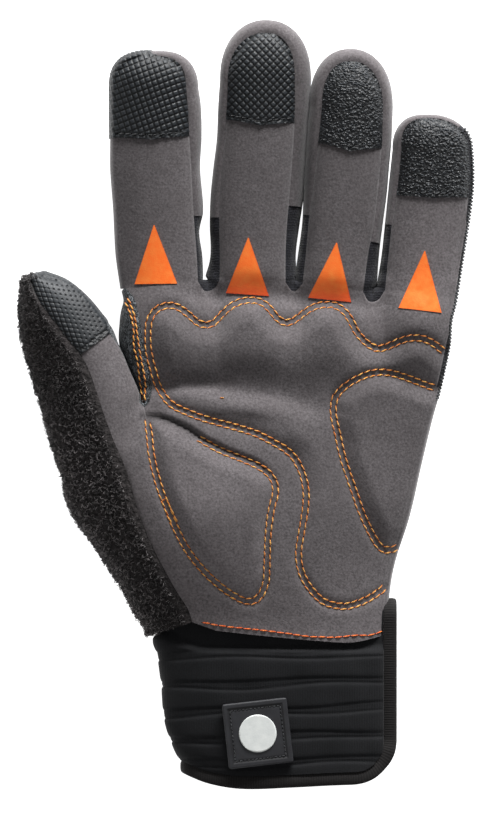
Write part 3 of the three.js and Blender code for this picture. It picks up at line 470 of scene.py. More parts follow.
def fold_height(x, y, fold):
    """How deep a fold is at plan points, from the nearest part of its line."""
    nearest = np.full(np.shape(x), 1e9)
    deep, width = np.zeros(np.shape(x)), np.ones(np.shape(x))
    for a, b in zip(fold["line"][:-1], fold["line"][1:]):
        dx, dy = b[0] - a[0], b[1] - a[1]
        t = np.clip(((x - a[0]) * dx + (y - a[1]) * dy) / (dx * dx + dy * dy), 0, 1)
        away = np.hypot(x - a[0] - t * dx, y - a[1] - t * dy)
        side = dx * (y - a[1]) - dy * (x - a[0])
        closer = away < nearest
        nearest = np.where(closer, away, nearest)
        deep = np.where(closer, lerp(a[2], b[2], t), deep)
        width = np.where(closer, np.where(side > 0, fold["above"], fold["below"]), width)
    return deep * bell(nearest, width)


def root_relief(x, y):
    """Relief that runs on from the palm into the fingers."""
    height = -fold_height(x, y, ROOT_FOLD)
    for at_x, at_y, half_x, half_y, rise in DOMES:
        height = height + rise * bell(np.hypot((x - at_x) / half_x, (y - at_y) / half_y), 1)
    return height


def finger_plan(finger, u, t, s):
    """A finger's grid: u runs across it, t along its straight part and s through its round tip."""
    low, cap, patch_y = max(finger["base"]), finger["cap"], finger["patch_y"]
    u, t, s = u[None, :], t[:, None], s[:, None]
    share = (u + 1) / 2
    level = np.where(
        t <= PATCH_SHARE,
        lerp(low, patch_y, t / PATCH_SHARE),
        lerp(patch_y, cap, (t - PATCH_SHARE) / (1 - PATCH_SHARE)),
    )
    slant = low - lerp(*finger["base"], share)
    straight_y = level - slant * (1 - t) ** 3
    straight_x = lerp(finger["left"](straight_y), finger["right"](straight_y), share)
    straight_reach = np.where(u < 0, finger["reachLeft"](straight_y), finger["reachRight"](straight_y))

    width = finger["right"](cap) - finger["left"](cap)
    centre = (finger["right"](cap) + finger["left"](cap)) / 2
    across = u * np.sqrt(1 - s * s / 2)
    up = s * np.sqrt(1 - u * u / 2)
    angle = np.arctan2(up, across)
    n = finger["squareness"]
    square = (np.abs(np.cos(angle)) ** n + np.abs(np.sin(angle)) ** n) ** (-1 / n)
    scale = 1 + (square - 1) * np.hypot(across, up)
    cap_x = centre + across * scale * width / 2 + finger["lean"] * up * up
    cap_y = cap + up * scale * (finger["tip"] - cap)
    side = np.where(u < 0, finger["reachLeft"](cap), finger["reachRight"](cap))
    cap_reach = lerp(side, finger["tip_reach"], up * up)

    x = np.concatenate([straight_x, cap_x])
    y = np.concatenate([straight_y, cap_y])
    reach = np.concatenate([straight_reach, cap_reach])
    rim = np.minimum(1, (np.abs(u) ** 3 + np.concatenate([0 * t, s]) ** 3) ** (1 / 3))
    seam = SEAM_HEIGHT + fingertip_lift(y) - SEAM_DROP * smooth(60, 125, y)
    dips = np.interp(u, [-1, -0.3, 0.2, 1], np.repeat(finger["dips"], 2))
    dip = SEAM_DIP * dips * bell((1 - rim) * width / 2, 1.3) * smooth(40, 44, y)
    front = seam + FINGER_CROWN * (1 - rim**CROWN_SHAPE) - dip + root_relief(x, y)
    back = BACK_EDGE_RISE * rim**3 + fingertip_lift(y)
    return plan(x, y, front, back, reach)


def even_plan(finger):
    return finger_plan(
        finger,
        np.linspace(-1, 1, FINGER_COLUMNS + 1),
        np.linspace(0, 1, FINGER_ROWS + 1),
        np.linspace(0, 1, CAP_ROWS + 1)[1:],
    )


finger_plans = {name: even_plan(finger) for name, finger in FINGERS.items()}


def across_finger(x, y):
    """How far across its finger a plan point lies, 1 at the seams and beyond."""
    across = np.ones(np.shape(x))
    for finger in FINGERS.values():
        left, right = finger["left"](y), finger["right"](y)
        across = np.minimum(across, np.abs(2 * (x - left) / (right - left) - 1))
    return across


saddle_x = profile({k: v[:6] for k, v in SADDLE_EDGE.items()}, "x")
terry_x = profile({k: v[1:] for k, v in TERRY_SEAM.items()}, "x")
outer_x = profile(OUTER_EDGE, "x")

for seam in PAD_SEAMS.values():
    seam["outer"] = spline(seam["line"], step=0.6)
    seam["inner"] = offset(seam["outer"], seam["offset"] * ROW_SPACING)
    seam["middle"] = offset(seam["outer"], seam["offset"] * ROW_SPACING / 2)
    coarse = seam["middle"][::4]
    if coarse[0, 0] > 40:
        far = [(70, coarse[-1, 1]), (70, coarse[0, 1])]
        coarse = np.concatenate([coarse, far])
    seam["outline"] = coarse


def palm_relief(x, y):
    """Relief of the palm side: its crown, the finger roots, the pads and the folds."""
    left = lerp(saddle_x(y), terry_x(y), smooth(3, -16, y))
    u = np.clip((x - left) / (outer_x(y) - left), 0, 1)
    along = smooth(42, 12, y) * smooth(-84, -30, y)
    height = PALM_CROWN * (4 * u * (1 - u)) ** 0.6 * along
    height = height + FINGER_CROWN * (1 - across_finger(x, y) ** CROWN_SHAPE) * smooth(4, 37, y)
    for seam in PAD_SEAMS.values():
        depth = inside_distance(x, y, seam["outline"])
        rise = seam["rise"] * lerp(seam["low"], 1, smooth(7, 20, y)) * smooth(-68, -30, y)
        height += rise * smooth(0.3, seam["shoulder"], depth)
        groove = line_distance(x, y, seam["middle"][::3])
        height -= PAD_GROOVE * bell(groove, GROOVE_HALF_WIDTH)
    for fold in FOLDS:
        height -= fold_height(x, y, fold)
    return height + root_relief(x, y)


def back_relief(x, y):
    return BACK_EDGE_RISE * across_finger(x, y) ** 3 * smooth(24, 34, y)


def table_line(rows, names="x y z"):
    return np.stack([rows[name] for name in names.split()], axis=1)


def palm_top():
    """The palm's top edge, and how far along it each column of the palm lies."""
    points, shares, start = [], [], 0.0
    for i, name in enumerate(NAMES):
        base = finger_plans[name][0]
        points.append(base)
        shares.append(start + 5 * np.linspace(0, 1, FINGER_COLUMNS + 1))
        start += 5
        if i == len(CROTCH_BOTTOMS):
            break
        after = finger_plans[NAMES[i + 1]][0][0]
        bend = spline([base[-1, :2], *CROTCH_BOTTOMS[i], after[:2]], count=CROTCH_COLUMNS)
        t = np.linspace(0, 1, CROTCH_COLUMNS + 1)[1:-1]
        reach = lerp(lerp(base[-1, REACH], after[REACH], t), CROTCH_REACH, np.sin(np.pi * t))
        x, y = bend[1:-1].T
        points.append(plan(x, y, SEAM_HEIGHT + root_relief(x, y), BACK_EDGE_RISE, reach))
        shares.append(start + CROTCH_SPANS[i] * t)
        start += CROTCH_SPANS[i]
    return np.concatenate(points), np.concatenate(shares) / start


def wrist_height(x):
    u = np.clip(np.abs(x - WRIST_X) / WRIST_HALF_WIDTH, 0, 1)
    return WRIST_Z + WRIST_HALF_HEIGHT * (1 - u**WRIST_SQUARENESS) ** (1 / WRIST_SQUARENESS)


top_edge, top_share = palm_top()
saddle_line = table_line(SADDLE_EDGE)
left_edge = np.concatenate([
    spline(saddle_line, count=SADDLE_ROWS),
    spline(np.concatenate([saddle_line[-1:], table_line(THENAR_LINE)]), count=THENAR_ROWS)[1:],
])
PALM_ROWS = SADDLE_ROWS + THENAR_ROWS
right_edge = spline(table_line(OUTER_EDGE), count=PALM_ROWS)


def palm_plan():
    """The palm: a smooth blend between its four edges, with its relief."""
    s = top_share[None, :, None]
    t = np.linspace(0, 1, PALM_ROWS + 1)[:, None, None]
    top = np.stack([top_edge[:, X], top_edge[:, Y], np.full(len(top_edge), SEAM_HEIGHT)], axis=1)
    hem_x = lerp(left_edge[-1, 0], right_edge[-1, 0], top_share)
    bottom = np.stack([hem_x, profile(HEM, "y", "x")(hem_x), wrist_height(hem_x)], axis=1)
    left, right = left_edge[:, None, :], right_edge[:, None, :]
    corners = lerp(lerp(left[0], right[0], s[0]), lerp(left[-1], right[-1], s[0]), t)
    base = lerp(left, right, s) + lerp(top[None], bottom[None], t) - corners
    x, y = base[..., 0], base[..., 1]
    rise = np.maximum(0, np.abs(2 * s[..., 0] - 1) * 2 - 1) ** 3
    low_left = (s[..., 0] < 0.5) & (np.arange(PALM_ROWS + 1)[:, None] > SADDLE_ROWS)
    back = EDGE_BACK * rise * np.where(low_left, 0.1, 1) + back_relief(x, y)
    reach = lerp(HEM_REACH, EDGE_REACH, smooth(-60, -40, y))
    rows = plan(x, y, base[..., 2] + palm_relief(x, y), back, reach)
    rows[0] = top_edge
    return rows


palm_grid = palm_plan()


def thumb_upper(k, s):
    """The thumb above its crotch: k counts the lines of its table, and s runs across it."""
    at = {name: profile(THUMB, name, "k")(k)[:, None] for name in list(THUMB)[1:]}
    s = s[None, :]
    x = lerp(at["seamX"], at["edgeX"], s)
    y = lerp(at["seamY"], at["edgeY"], s)
    front = lerp(at["seamZ"], at["edgeZ"], s) + THUMB_CROWN * 4 * s * (1 - s)
    back = at["backZ"] - THUMB_BACK_CROWN * (1 - np.abs(2 * s - 1) ** 3)
    return plan(x, y, front, back, np.where(s < 0.5, at["reachLeft"], at["reachRight"]))


def thumb_plan():
    """The thumb from its tip down its own length, and then beside the thenar line."""
    s = np.linspace(0, 1, THUMB_COLUMNS + 1)
    upper = thumb_upper(np.linspace(0, 8, THUMB_LINES + 1), s)
    s = s[None, :]
    seam = spline(table_line(TERRY_SEAM, "x y z backZ reach"), count=THENAR_ROWS)[:, None, :]
    inner = palm_grid[SADDLE_ROWS:, :1]
    x = lerp(seam[..., 0], inner[..., X], s)
    y = lerp(seam[..., 1], inner[..., Y], s)
    base = lerp(seam[..., 2], left_edge[SADDLE_ROWS:, 2:3], s)
    reach = lerp(seam[..., 4], inner[..., REACH], s)
    lower = plan(x, y, base + palm_relief(x, y), lerp(seam[..., 3], inner[..., BACK], s), reach)
    rows = np.concatenate([upper, lower])
    for _ in range(24):
        near = slice(THUMB_LINES - 6, THUMB_LINES + 7)
        above = rows[THUMB_LINES - 7 : THUMB_LINES + 6, :-1, FRONT]
        below = rows[THUMB_LINES - 5 : THUMB_LINES + 8, :-1, FRONT]
        rows[near, :-1, FRONT] = lerp(rows[near, :-1, FRONT], (above + below) / 2, 0.7)
    return rows


thumb_grid = thumb_plan()
THUMB_BASE = THUMB_LINES + 1


# From plan points to sheets of an outer and an inner face
def face(rows, height, depth=0.0):
    """Points over the plan at a height, moved by a depth."""
    return np.stack([rows[..., X], rows[..., Y], rows[..., height] + depth], axis=-1)


def front_pair(rows):
    return face(rows, FRONT), face(rows, FRONT, -PALM_WALL)


def back_pair(rows, wall=BACK_WALL):
    return face(rows, BACK), face(rows, BACK, wall)


def finger_boundary(name):
    rows = finger_plans[name]
    return np.concatenate([rows[:, 0], rows[-1, 1:-1], rows[::-1, -1]])


def side_strip(line, wall=GUSSET_WALL, front_gap=SEAM_GAP, back_gap=SEAM_GAP, front_wall=None,
               segments=STRIP_SEGMENTS, upto=1.0, even=0, dip=0.0):
    """A side wall that bulges out between the front and back heights of a boundary."""
    directions = normals_of(line)
    for _ in range(even):
        directions[1:-1] = (directions[:-2] + directions[1:-1] * 2 + directions[2:]) / 4
    directions /= np.linalg.norm(directions, axis=1, keepdims=True)
    v = np.linspace(0, upto, segments + 1)[None, :]
    gap = np.where(v < 0.5, front_gap, back_gap)
    bulge, turn = np.sin(np.pi * v), (1 - np.cos(np.pi * v)) / 2
    front, back, reach = line[:, FRONT, None], line[:, BACK, None], line[:, REACH, None]
    top_wall = lerp(front_wall or wall, wall, np.minimum(1, 2 * v))

    def at(distance, z):
        out = gap + (distance - gap) * bulge
        x = line[:, X, None] + directions[:, 0, None] * out
        y = line[:, Y, None] + directions[:, 1, None] * out
        return np.stack([x, y, z + 0 * x], axis=-1)

    puff = dip * (1 - bell(reach * bulge + 4 * turn, 1.3)) * np.where(v < 0.5, 1, 0)
    outer = at(reach, lerp(front, back, turn) + puff)
    inner = at(np.maximum(LEAST_REACH, reach - wall), lerp(front - top_wall, back + wall, turn))
    return outer, inner


def mesh_piece(name, points, faces, uv=None, shade=None):
    """A new object from points in millimetres."""
    mesh = bpy.data.meshes.new(name)
    points = np.asarray(points, float) / 1000
    faces = np.asarray(faces)
    mesh.vertices.add(len(points))
    mesh.vertices.foreach_set("co", points.ravel())
    sides = faces.shape[1]
    mesh.loops.add(faces.size)
    mesh.loops.foreach_set("vertex_index", faces.ravel())
    mesh.polygons.add(len(faces))
    mesh.polygons.foreach_set("loop_start", np.arange(len(faces)) * sides)
    mesh.polygons.foreach_set("use_smooth", np.ones(len(faces), bool))
    if uv is not None:
        layer = mesh.uv_layers.new(name="UVMap")
        layer.data.foreach_set("uv", np.asarray(uv, float)[faces.ravel()].ravel())
    tone = mesh.attributes.new("shade", "FLOAT", "POINT")
    tone.data.foreach_set("value", np.ones(len(points)) if shade is None else np.asarray(shade, float))
    mesh.validate()
    mesh.update()
    obj = bpy.data.objects.new(name, mesh)
    bpy.context.scene.collection.objects.link(obj)
    return obj


def weld(points, faces):
    """Merges points that lie on each other, and drops faces that close up."""
    keys = np.round(points * 500).astype(np.int64)
    _, first, back = np.unique(keys, axis=0, return_index=True, return_inverse=True)
    back = back.reshape(-1)
    faces = back[faces]
    flat = [len(set(f)) < len(f) for f in faces.tolist()]
    return points[first], faces[~np.array(flat)], first


def grid_faces(rows, cols, start=0):
    i = np.arange(rows - 1)[:, None] * cols + np.arange(cols - 1)[None, :] + start
    return np.stack([i, i + 1, i + cols + 1, i + cols], axis=-1).reshape(-1, 4)


def cloth(name, patches, shade=None, sharp=55):
    """A solid of cloth: its outer face, its inner face and a wall along every free edge."""
    outer, inner, tones, faces, start = [], [], [], [], 0
    for out_rows, in_rows, *tone in patches:
        cells = grid_faces(*out_rows.shape[:2])
        tones.append(np.ravel(tone[0]) if tone else np.ones(out_rows.shape[0] * out_rows.shape[1]))
        o, i = out_rows.reshape(-1, 3), in_rows.reshape(-1, 3)
        a, b, c, d = (o[cells[:, k]] for k in range(4))
        facing = np.einsum("ij,ij->i", np.cross(c - a, d - b), a - i[cells[:, 0]]).sum()
        cells = cells[:, ::-1] if facing < 0 else cells
        outer.append(o)
        inner.append(i)
        faces.append(cells + start)
        start += len(o)
    points, cells, first = weld(np.concatenate(outer), np.concatenate(faces))
    lining = np.concatenate(inner)[first]
    count = len(points)
    edges = np.concatenate([cells[:, [k, (k + 1) % 4]] for k in range(4)])
    codes = edges[:, 0] * count + edges[:, 1]
    free = edges[~np.isin(edges[:, 1] * count + edges[:, 0], codes)]
    walls = np.stack([free[:, 1], free[:, 0], free[:, 0] + count, free[:, 1] + count], axis=1)
    all_faces = np.concatenate([cells, cells[:, ::-1] + count, walls])
    all_points = np.concatenate([points, lining])
    tone = np.tile(np.concatenate(tones)[first], 2)
    if shade:
        tone = tone * shade(all_points)
    obj = mesh_piece(name, all_points, all_faces, shade=tone)
    obj.data.set_sharp_from_angle(angle=np.radians(sharp))
    return obj


def place(obj, look, slot, *nodes):
    """Gives a piece its material, and its place in the model."""
    obj.data.materials.append(look)
    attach(obj, "root")
    if nodes:
        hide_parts(*nodes)
    return obj


# Materials: procedural colour, roughness and relief, in object space
def srgb(r, g, b):
    """A surface colour from its value on screen, 0 to 255."""
    c = np.array([r, g, b]) / 255
    linear = np.where(c <= 0.04045, c / 12.92, ((c + 0.055) / 1.055) ** 2.4)
    return (*[float(v) for v in linear], 1.0)


class Look:
    """A material whose colour, roughness and height are mixed from textures."""

    def __init__(self, name, **shader):
        self.material = bpy.data.materials.new(name)
        self.material.use_nodes = True
        self.tree = self.material.node_tree
        self.shader = self.tree.nodes["Principled BSDF"]
        for socket, value in shader.items():
            self.shader.inputs[socket.replace("_", " ").title().replace("Ior", "IOR")].default_value = value
        self.place = self.add("TexCoord").outputs["Object"]
        self.normal = None

    def add(self, kind, **settings):
        node = self.tree.nodes.new("ShaderNode" + kind)
        for key, value in settings.items():
            setattr(node, key, value)
        return node

    def join(self, source, target):
        if isinstance(source, (int, float, tuple)):
            target.default_value = source
        else:
            self.tree.links.new(source, target)

    def stretched(self, stretch, turn=0.0):
        node = self.add("Mapping")
        node.inputs["Scale"].default_value = stretch
        node.inputs["Rotation"].default_value = (0, 0, turn)
        self.join(self.place, node.inputs["Vector"])
        return node.outputs["Vector"]

    def noise(self, size, detail=2.0, rough=0.5, place=None, twist=0.0):
        node = self.add("TexNoise")
        node.inputs["Scale"].default_value = 1000 / size
        node.inputs["Detail"].default_value = detail
        node.inputs["Roughness"].default_value = rough
        node.inputs["Distortion"].default_value = twist
        self.join(place or self.place, node.inputs["Vector"])
        return node.outputs["Fac"]

    def cells(self, size, place=None, feature="F1"):
        node = self.add("TexVoronoi", feature=feature)
        node.inputs["Scale"].default_value = 1000 / size
        self.join(place or self.place, node.inputs["Vector"])
        return node.outputs["Distance"]

    def bands(self, size, direction="X", place=None, twist=0.0):
        node = self.add("TexWave", bands_direction=direction)
        node.inputs["Scale"].default_value = 1000 / size / 3.2
        node.inputs["Distortion"].default_value = twist
        self.join(place or self.place, node.inputs["Vector"])
        return node.outputs["Fac"]

    def attribute(self, name):
        return self.add("Attribute", attribute_name=name).outputs["Fac"]

    def maths(self, operation, a, b):
        node = self.add("Math", operation=operation)
        self.join(a, node.inputs[0])
        self.join(b, node.inputs[1])
        return node.outputs[0]

    def remap(self, value, low, groove_shade_mask, to_low=0.0, to_high=1.0):
        node = self.add("MapRange")
        for k, v in enumerate((value, low, groove_shade_mask, to_low, to_high)):
            self.join(v, node.inputs[k])
        return node.outputs[0]

    def mix(self, amount, a, b, blend="MIX"):
        node = self.add("Mix", data_type="RGBA", blend_type=blend)
        self.join(amount, node.inputs["Factor"])
        self.join(a, node.inputs[6])
        self.join(b, node.inputs[7])
        return node.outputs[2]

    def scaled(self, colour, amount):
        node = self.add("VectorMath", operation="SCALE")
        self.join(colour, node.inputs[0])
        self.join(amount, node.inputs["Scale"])
        return node.outputs[0]

    def bump(self, height, millimetres, strength=1.0):
        node = self.add("Bump")
        node.inputs["Distance"].default_value = millimetres / 1000
        node.inputs["Strength"].default_value = strength
        self.join(height, node.inputs["Height"])
        if self.normal:
            self.join(self.normal, node.inputs["Normal"])
        self.normal = node.outputs["Normal"]

    def finish(self, colour, roughness=None):
        self.join(colour, self.shader.inputs["Base Color"])
        if roughness is not None:
            self.join(roughness, self.shader.inputs["Roughness"])
        if self.normal:
            self.join(self.normal, self.shader.inputs["Normal"])
        return self.material


def suede_look():
    look = Look("suede", sheen_weight=0.25, sheen_roughness=0.5, specular_ior_level=0.2)
    grain = look.noise(0.75, detail=3, rough=0.6)
    nap = look.noise(9, detail=3, rough=0.55, twist=0.6)
    streak = look.noise(2.2, detail=2, place=look.stretched((1.0, 0.45, 1.0), 0.5))
    colour = look.mix(look.remap(grain, 0.3, 0.72), srgb(70, 66, 67), srgb(111, 106, 108))
    colour = look.mix(look.remap(nap, 0.35, 0.65, 0.0, 0.3), colour, srgb(84, 79, 80))
    colour = look.mix(look.remap(streak, 0.45, 0.75, 0.0, 0.15), colour, srgb(112, 107, 109))
    # the shade attribute multiplies in painted light and shade
    colour = look.scaled(colour, look.attribute("shade"))
    look.bump(nap, 0.2)
    look.bump(grain, 0.08)
    look.bump(look.noise(0.3, detail=1), 0.03)
    return look.finish(colour, look.remap(nap, 0.3, 0.7, 0.88, 1.0))


def knit_look():
    look = Look("black_knit", sheen_weight=0.15, sheen_roughness=0.4, specular_ior_level=0.3)
    courses = look.bands(0.85, "Y", twist=4.0)
    curls = look.noise(0.8, detail=2, place=look.stretched((1.0, 0.6, 1.0)), twist=1.2)
    fluff = look.noise(0.5, detail=3)
    loops = look.maths("MULTIPLY", curls, look.remap(courses, 0.0, 1.0, 0.7, 1.0))
    colour = look.mix(look.remap(loops, 0.25, 0.6), srgb(17, 17, 20), srgb(34, 34, 40))
    colour = look.mix(look.remap(fluff, 0.5, 0.8, 0.0, 0.4), colour, srgb(62, 62, 70))
    look.bump(loops, 0.3)
    look.bump(fluff, 0.1)
    return look.finish(colour, look.remap(fluff, 0.3, 0.7, 0.8, 0.98))


def grip_look():
    look = Look("diamond_grip", specular_ior_level=0.4)
    grain = look.noise(0.35, detail=3)
    cloud = look.noise(6, detail=2)
    # painted shade: grooves, hem crinkles and the thumb patch's lower right, where the shade attribute is
    # low, get the darker colour
    groove_shade_mask = look.remap(look.attribute("shade"), 0.0, 1.0)
    colour = look.mix(groove_shade_mask, srgb(9, 10, 11), srgb(36, 40, 44))
    colour = look.mix(look.remap(cloud, 0.4, 0.7, 0.0, 0.35), colour, srgb(24, 27, 31))
    look.bump(grain, 0.05)
    return look.finish(colour, look.remap(grain, 0.3, 0.7, 0.44, 0.6))


def pebble_look():
    look = Look("pebbled_leather", specular_ior_level=0.5)
    turned = look.stretched((1.0, 1.25, 1.0), 0.5)
    warp = look.add("VectorMath", operation="MULTIPLY_ADD")
    shift = look.add("TexNoise")
    shift.inputs["Scale"].default_value = 1000 / 1.6
    look.join(look.place, shift.inputs["Vector"])
    look.join(shift.outputs["Color"], warp.inputs[0])
    warp.inputs[1].default_value = (0.0009, 0.0009, 0.0009)
    look.join(turned, warp.inputs[2])
    pebbles = look.cells(1.05, warp.outputs[0])
    fine = look.noise(0.4, detail=3)
    # painted highlight: lighter colour on the pebble tops, darker between them; the bump is real relief
    lit_tops = look.remap(pebbles, 0.55, 0.1)
    colour = look.mix(lit_tops, srgb(12, 13, 15), srgb(48, 52, 57))
    colour = look.mix(look.remap(fine, 0.5, 0.75, 0.0, 0.5), colour, srgb(76, 82, 88))
    look.bump(lit_tops, 0.4)
    look.bump(fine, 0.1)
    return look.finish(colour, look.remap(fine, 0.3, 0.7, 0.4, 0.62))


def saddle_look():
    look = Look("curled_knit", sheen_weight=0.2, sheen_roughness=0.4, specular_ior_level=0.35)
    place = look.stretched((1.0, 0.6, 1.0), 0.6)
    curls = look.noise(0.75, detail=2, rough=0.6, place=place, twist=1.6)
    fluff = look.noise(0.3, detail=2)
    # painted highlight: lighter colour on the curl tops, darker between them; the bump is real relief
    lit_tops = look.remap(curls, 0.48, 0.6)
    colour = look.mix(lit_tops, srgb(13, 15, 17), srgb(112, 117, 122))
    colour = look.mix(look.remap(fluff, 0.5, 0.75, 0.0, 0.4), colour, srgb(132, 138, 142))
    look.bump(lit_tops, 0.45)
    look.bump(fluff, 0.1)
    return look.finish(colour, look.remap(fluff, 0.3, 0.7, 0.7, 0.92))


def terry_look():
    look = Look("terry", sheen_weight=0.2, sheen_roughness=0.4, specular_ior_level=0.2)
    tufts = look.noise(1.3, detail=3, rough=0.6)
    patches = look.noise(7, detail=2)
    colour = look.mix(look.remap(tufts, 0.35, 0.7), srgb(24, 22, 22), srgb(68, 64, 64))
    colour = look.mix(look.remap(patches, 0.4, 0.65, 0.0, 0.4), colour, srgb(28, 26, 26))
    look.bump(tufts, 0.8)
    return look.finish(colour, 0.97)


def loop_look():
    look = Look("terry_loops", sheen_weight=0.25, sheen_roughness=0.4, specular_ior_level=0.25)
    patches = look.noise(5, detail=3)
    # the shade attribute holds random tone and painted light
    colour = look.mix(look.attribute("shade"), srgb(22, 20, 20), srgb(150, 144, 144))
    colour = look.mix(look.remap(patches, 0.4, 0.65, 0.0, 0.35), colour, srgb(38, 35, 35))
    look.bump(look.noise(0.2, detail=1), 0.04)
    return look.finish(colour, 0.92)


def neoprene_look():
    look = Look("neoprene", sheen_weight=0.06, sheen_roughness=0.5, specular_ior_level=0.25)
    wales = look.bands(0.55, "X", twist=1.3)
    cloud = look.noise(12, detail=3)
    fluff = look.noise(0.45, detail=4, rough=0.7)
    lint = look.remap(look.noise(0.9, detail=5, rough=0.8), 0.72, 0.8)
    colour = look.mix(look.remap(fluff, 0.35, 0.7), srgb(14, 14, 16), srgb(26, 27, 30))
    colour = look.mix(look.remap(cloud, 0.4, 0.65, 0.0, 0.5), colour, srgb(22, 23, 25))
    colour = look.mix(look.maths("MULTIPLY", lint, 0.3), colour, srgb(80, 80, 84))
    look.bump(wales, 0.035)
    look.bump(fluff, 0.07)
    return look.finish(colour, look.remap(cloud, 0.3, 0.7, 0.82, 0.95))


def tape_look():
    look = Look("binding_tape", sheen_weight=0.1, sheen_roughness=0.4, specular_ior_level=0.3)
    fibre = look.noise(0.3, detail=2)
    # painted shade between the ribs, from the shade attribute
    colour = look.mix(look.attribute("shade"), srgb(11, 10, 10), srgb(32, 29, 29))
    colour = look.mix(look.remap(look.noise(8), 0.4, 0.65, 0.0, 0.4), colour, srgb(24, 22, 22))
    look.bump(fibre, 0.05)
    return look.finish(colour, look.remap(fibre, 0.3, 0.7, 0.75, 0.92))


def print_look():
    look = Look("orange_print", specular_ior_level=0.4)
    mottle = look.noise(2.5, detail=4, rough=0.6)
    pores = look.noise(0.4, detail=2)
    colour = look.mix(look.remap(mottle, 0.35, 0.7), srgb(255, 112, 30), srgb(255, 134, 52))
    # painted shade from the shade attribute, as a darker red
    colour = look.mix(look.maths("SUBTRACT", 1.0, look.attribute("shade")), colour, srgb(190, 58, 16))
    look.bump(pores, 0.05)
    return look.finish(colour, look.remap(mottle, 0.3, 0.7, 0.5, 0.66))


def thread_look(name, dark, mid, light):
    look = Look(name, sheen_weight=0.2, sheen_roughness=0.3, specular_ior_level=0.5)
    coords = look.add("UVMap", uv_map="UVMap").outputs["UV"]
    twist = look.add("TexWave", bands_direction="DIAGONAL")
    twist.inputs["Scale"].default_value = 1.1
    look.join(coords, twist.inputs["Vector"])
    ply = twist.outputs["Fac"]
    colour = look.mix(look.remap(ply, 0.15, 0.85, 0.3, 1.0), dark, mid)
    # painted highlight along each stitch's middle, and painted shade at its ends where it dives into the
    # cloth
    shine = look.maths("MULTIPLY", look.attribute("shade"), look.remap(look.noise(1.1), 0.35, 0.6))
    colour = look.mix(look.remap(shine, 0.2, 0.9), colour, light)
    colour = look.mix(look.remap(look.attribute("shade"), 0.5, 0.0), colour, dark)
    look.bump(ply, 0.12)
    return look.finish(colour, look.remap(ply, 0.0, 1.0, 0.62, 0.45))


def rubber_look():
    look = Look("label_rubber", specular_ior_level=0.45)
    grain = look.noise(0.25, detail=2)
    colour = look.mix(look.remap(look.noise(4, detail=3), 0.35, 0.7), srgb(34, 34, 38), srgb(42, 43, 47))
    # painted shade from the shade attribute
    colour = look.mix(look.maths("SUBTRACT", 1.0, look.attribute("shade")), colour, srgb(14, 14, 16))
    look.bump(grain, 0.03)
    return look.finish(colour, look.remap(grain, 0.3, 0.7, 0.5, 0.62))


def emblem_look():
    look = Look("label_white", specular_ior_level=0.4)
    cloud = look.noise(3, detail=4)
    colour = look.mix(look.remap(cloud, 0.35, 0.7), srgb(226, 230, 228), srgb(240, 243, 240))
    look.bump(look.noise(0.3, detail=2), 0.03)
    return look.finish(colour, look.remap(cloud, 0.3, 0.7, 0.45, 0.6))


SUEDE = suede_look()
KNIT = knit_look()
GRIP = grip_look()
PEBBLE = pebble_look()
CURLED = saddle_look()
TERRY = terry_look()
LOOPS = loop_look()
NEOPRENE = neoprene_look()
TAPE = tape_look()
PRINT = print_look()
RUBBER = rubber_look()
EMBLEM = emblem_look()
ORANGE = thread_look("orange_thread", srgb(168, 82, 22), srgb(232, 130, 36), srgb(255, 190, 90))
BLACK_THREAD = thread_look("black_thread", srgb(10, 10, 11), srgb(30, 31, 33), srgb(60, 62, 66))
BRIGHT = thread_look("hem_thread", srgb(196, 62, 10), srgb(246, 104, 22), srgb(255, 134, 44))


# Suede palm, with the fronts of the fingers and thumb and its own rolled edges
def gusset_row(name, side):
    """The row of a finger where its black gusset gives way to the suede strip."""
    height = FINGERS[name]["gusset"][side]
    return int(np.argmax(finger_plans[name][:, -side, Y] > height))


def suede_painted_light(points):
    """Painted light and shade on the suede: lighter and darker patches, painted shade in the stitched
    channels, and a painted shadow along the crease above the thumb's pad.
    """
    x, y = points[:, 0], points[:, 1]
    tone = np.ones(len(points))
    for at_x, at_y, half_x, half_y, change in PAINTED_LIGHT_PATCHES:
        tone += change * bell(np.hypot((x - at_x) / half_x, (y - at_y) / half_y), 1)
    # painted shade in the stitched channels
    for seam in PAD_SEAMS.values():
        tone -= 0.15 * bell(line_distance(x, y, seam["middle"][::3]), 1.2)
    # painted shadow along the crease above the thumb's pad
    crease = spline([point[:2] for point in FOLDS[-1]["line"]], step=1.0)
    tone -= 0.6 * bell(line_distance(x, y, crease), 0.75)
    return tone


def palm_piece():
    patches = [front_pair(palm_grid), *(front_pair(rows) for rows in finger_plans.values())]
    patches.append(front_pair(thumb_grid))
    roll = dict(front_wall=PALM_WALL, front_gap=0)
    top = finger_plans["index"]
    index_edge = np.concatenate([top[:, 0], top[-1, 1 : round(FINGER_COLUMNS * 0.4) + 1]])
    patches.append(side_strip(index_edge, segments=10, **roll))
    edge = palm_grid[:, -1]
    patches.append(side_strip(edge[edge[:, Y] < KNIT_EDGE_END + 2], segments=10, **roll))
    little = finger_plans["little"][:, -1][::-1]
    lip = np.concatenate([little, edge[1:]])
    lip = lip[(lip[:, Y] > 18) & (lip[:, Y] < 66)]
    lip[:, REACH] *= smooth(18, 24, lip[:, Y]) * smooth(66, 58, lip[:, Y])
    patches.append(side_strip(lip, segments=4, upto=0.2, **roll))
    return cloth("suede_palm", patches, shade=suede_painted_light)


palm = place(palm_piece(), SUEDE, "suede", "palm_panel")
palm_tree = BVHTree.FromPolygons(
    [v.co * 1000 for v in palm.data.vertices], [p.vertices for p in palm.data.polygons]
)


def on_palm(x, y):
    """The point of the palm's outer face over a plan point, and its normal."""
    hit, normal, _, _ = palm_tree.ray_cast(Vector((x, y, 100)), Vector((0, 0, -1)))
    return (np.array(hit), np.array(normal)) if hit else (None, None)


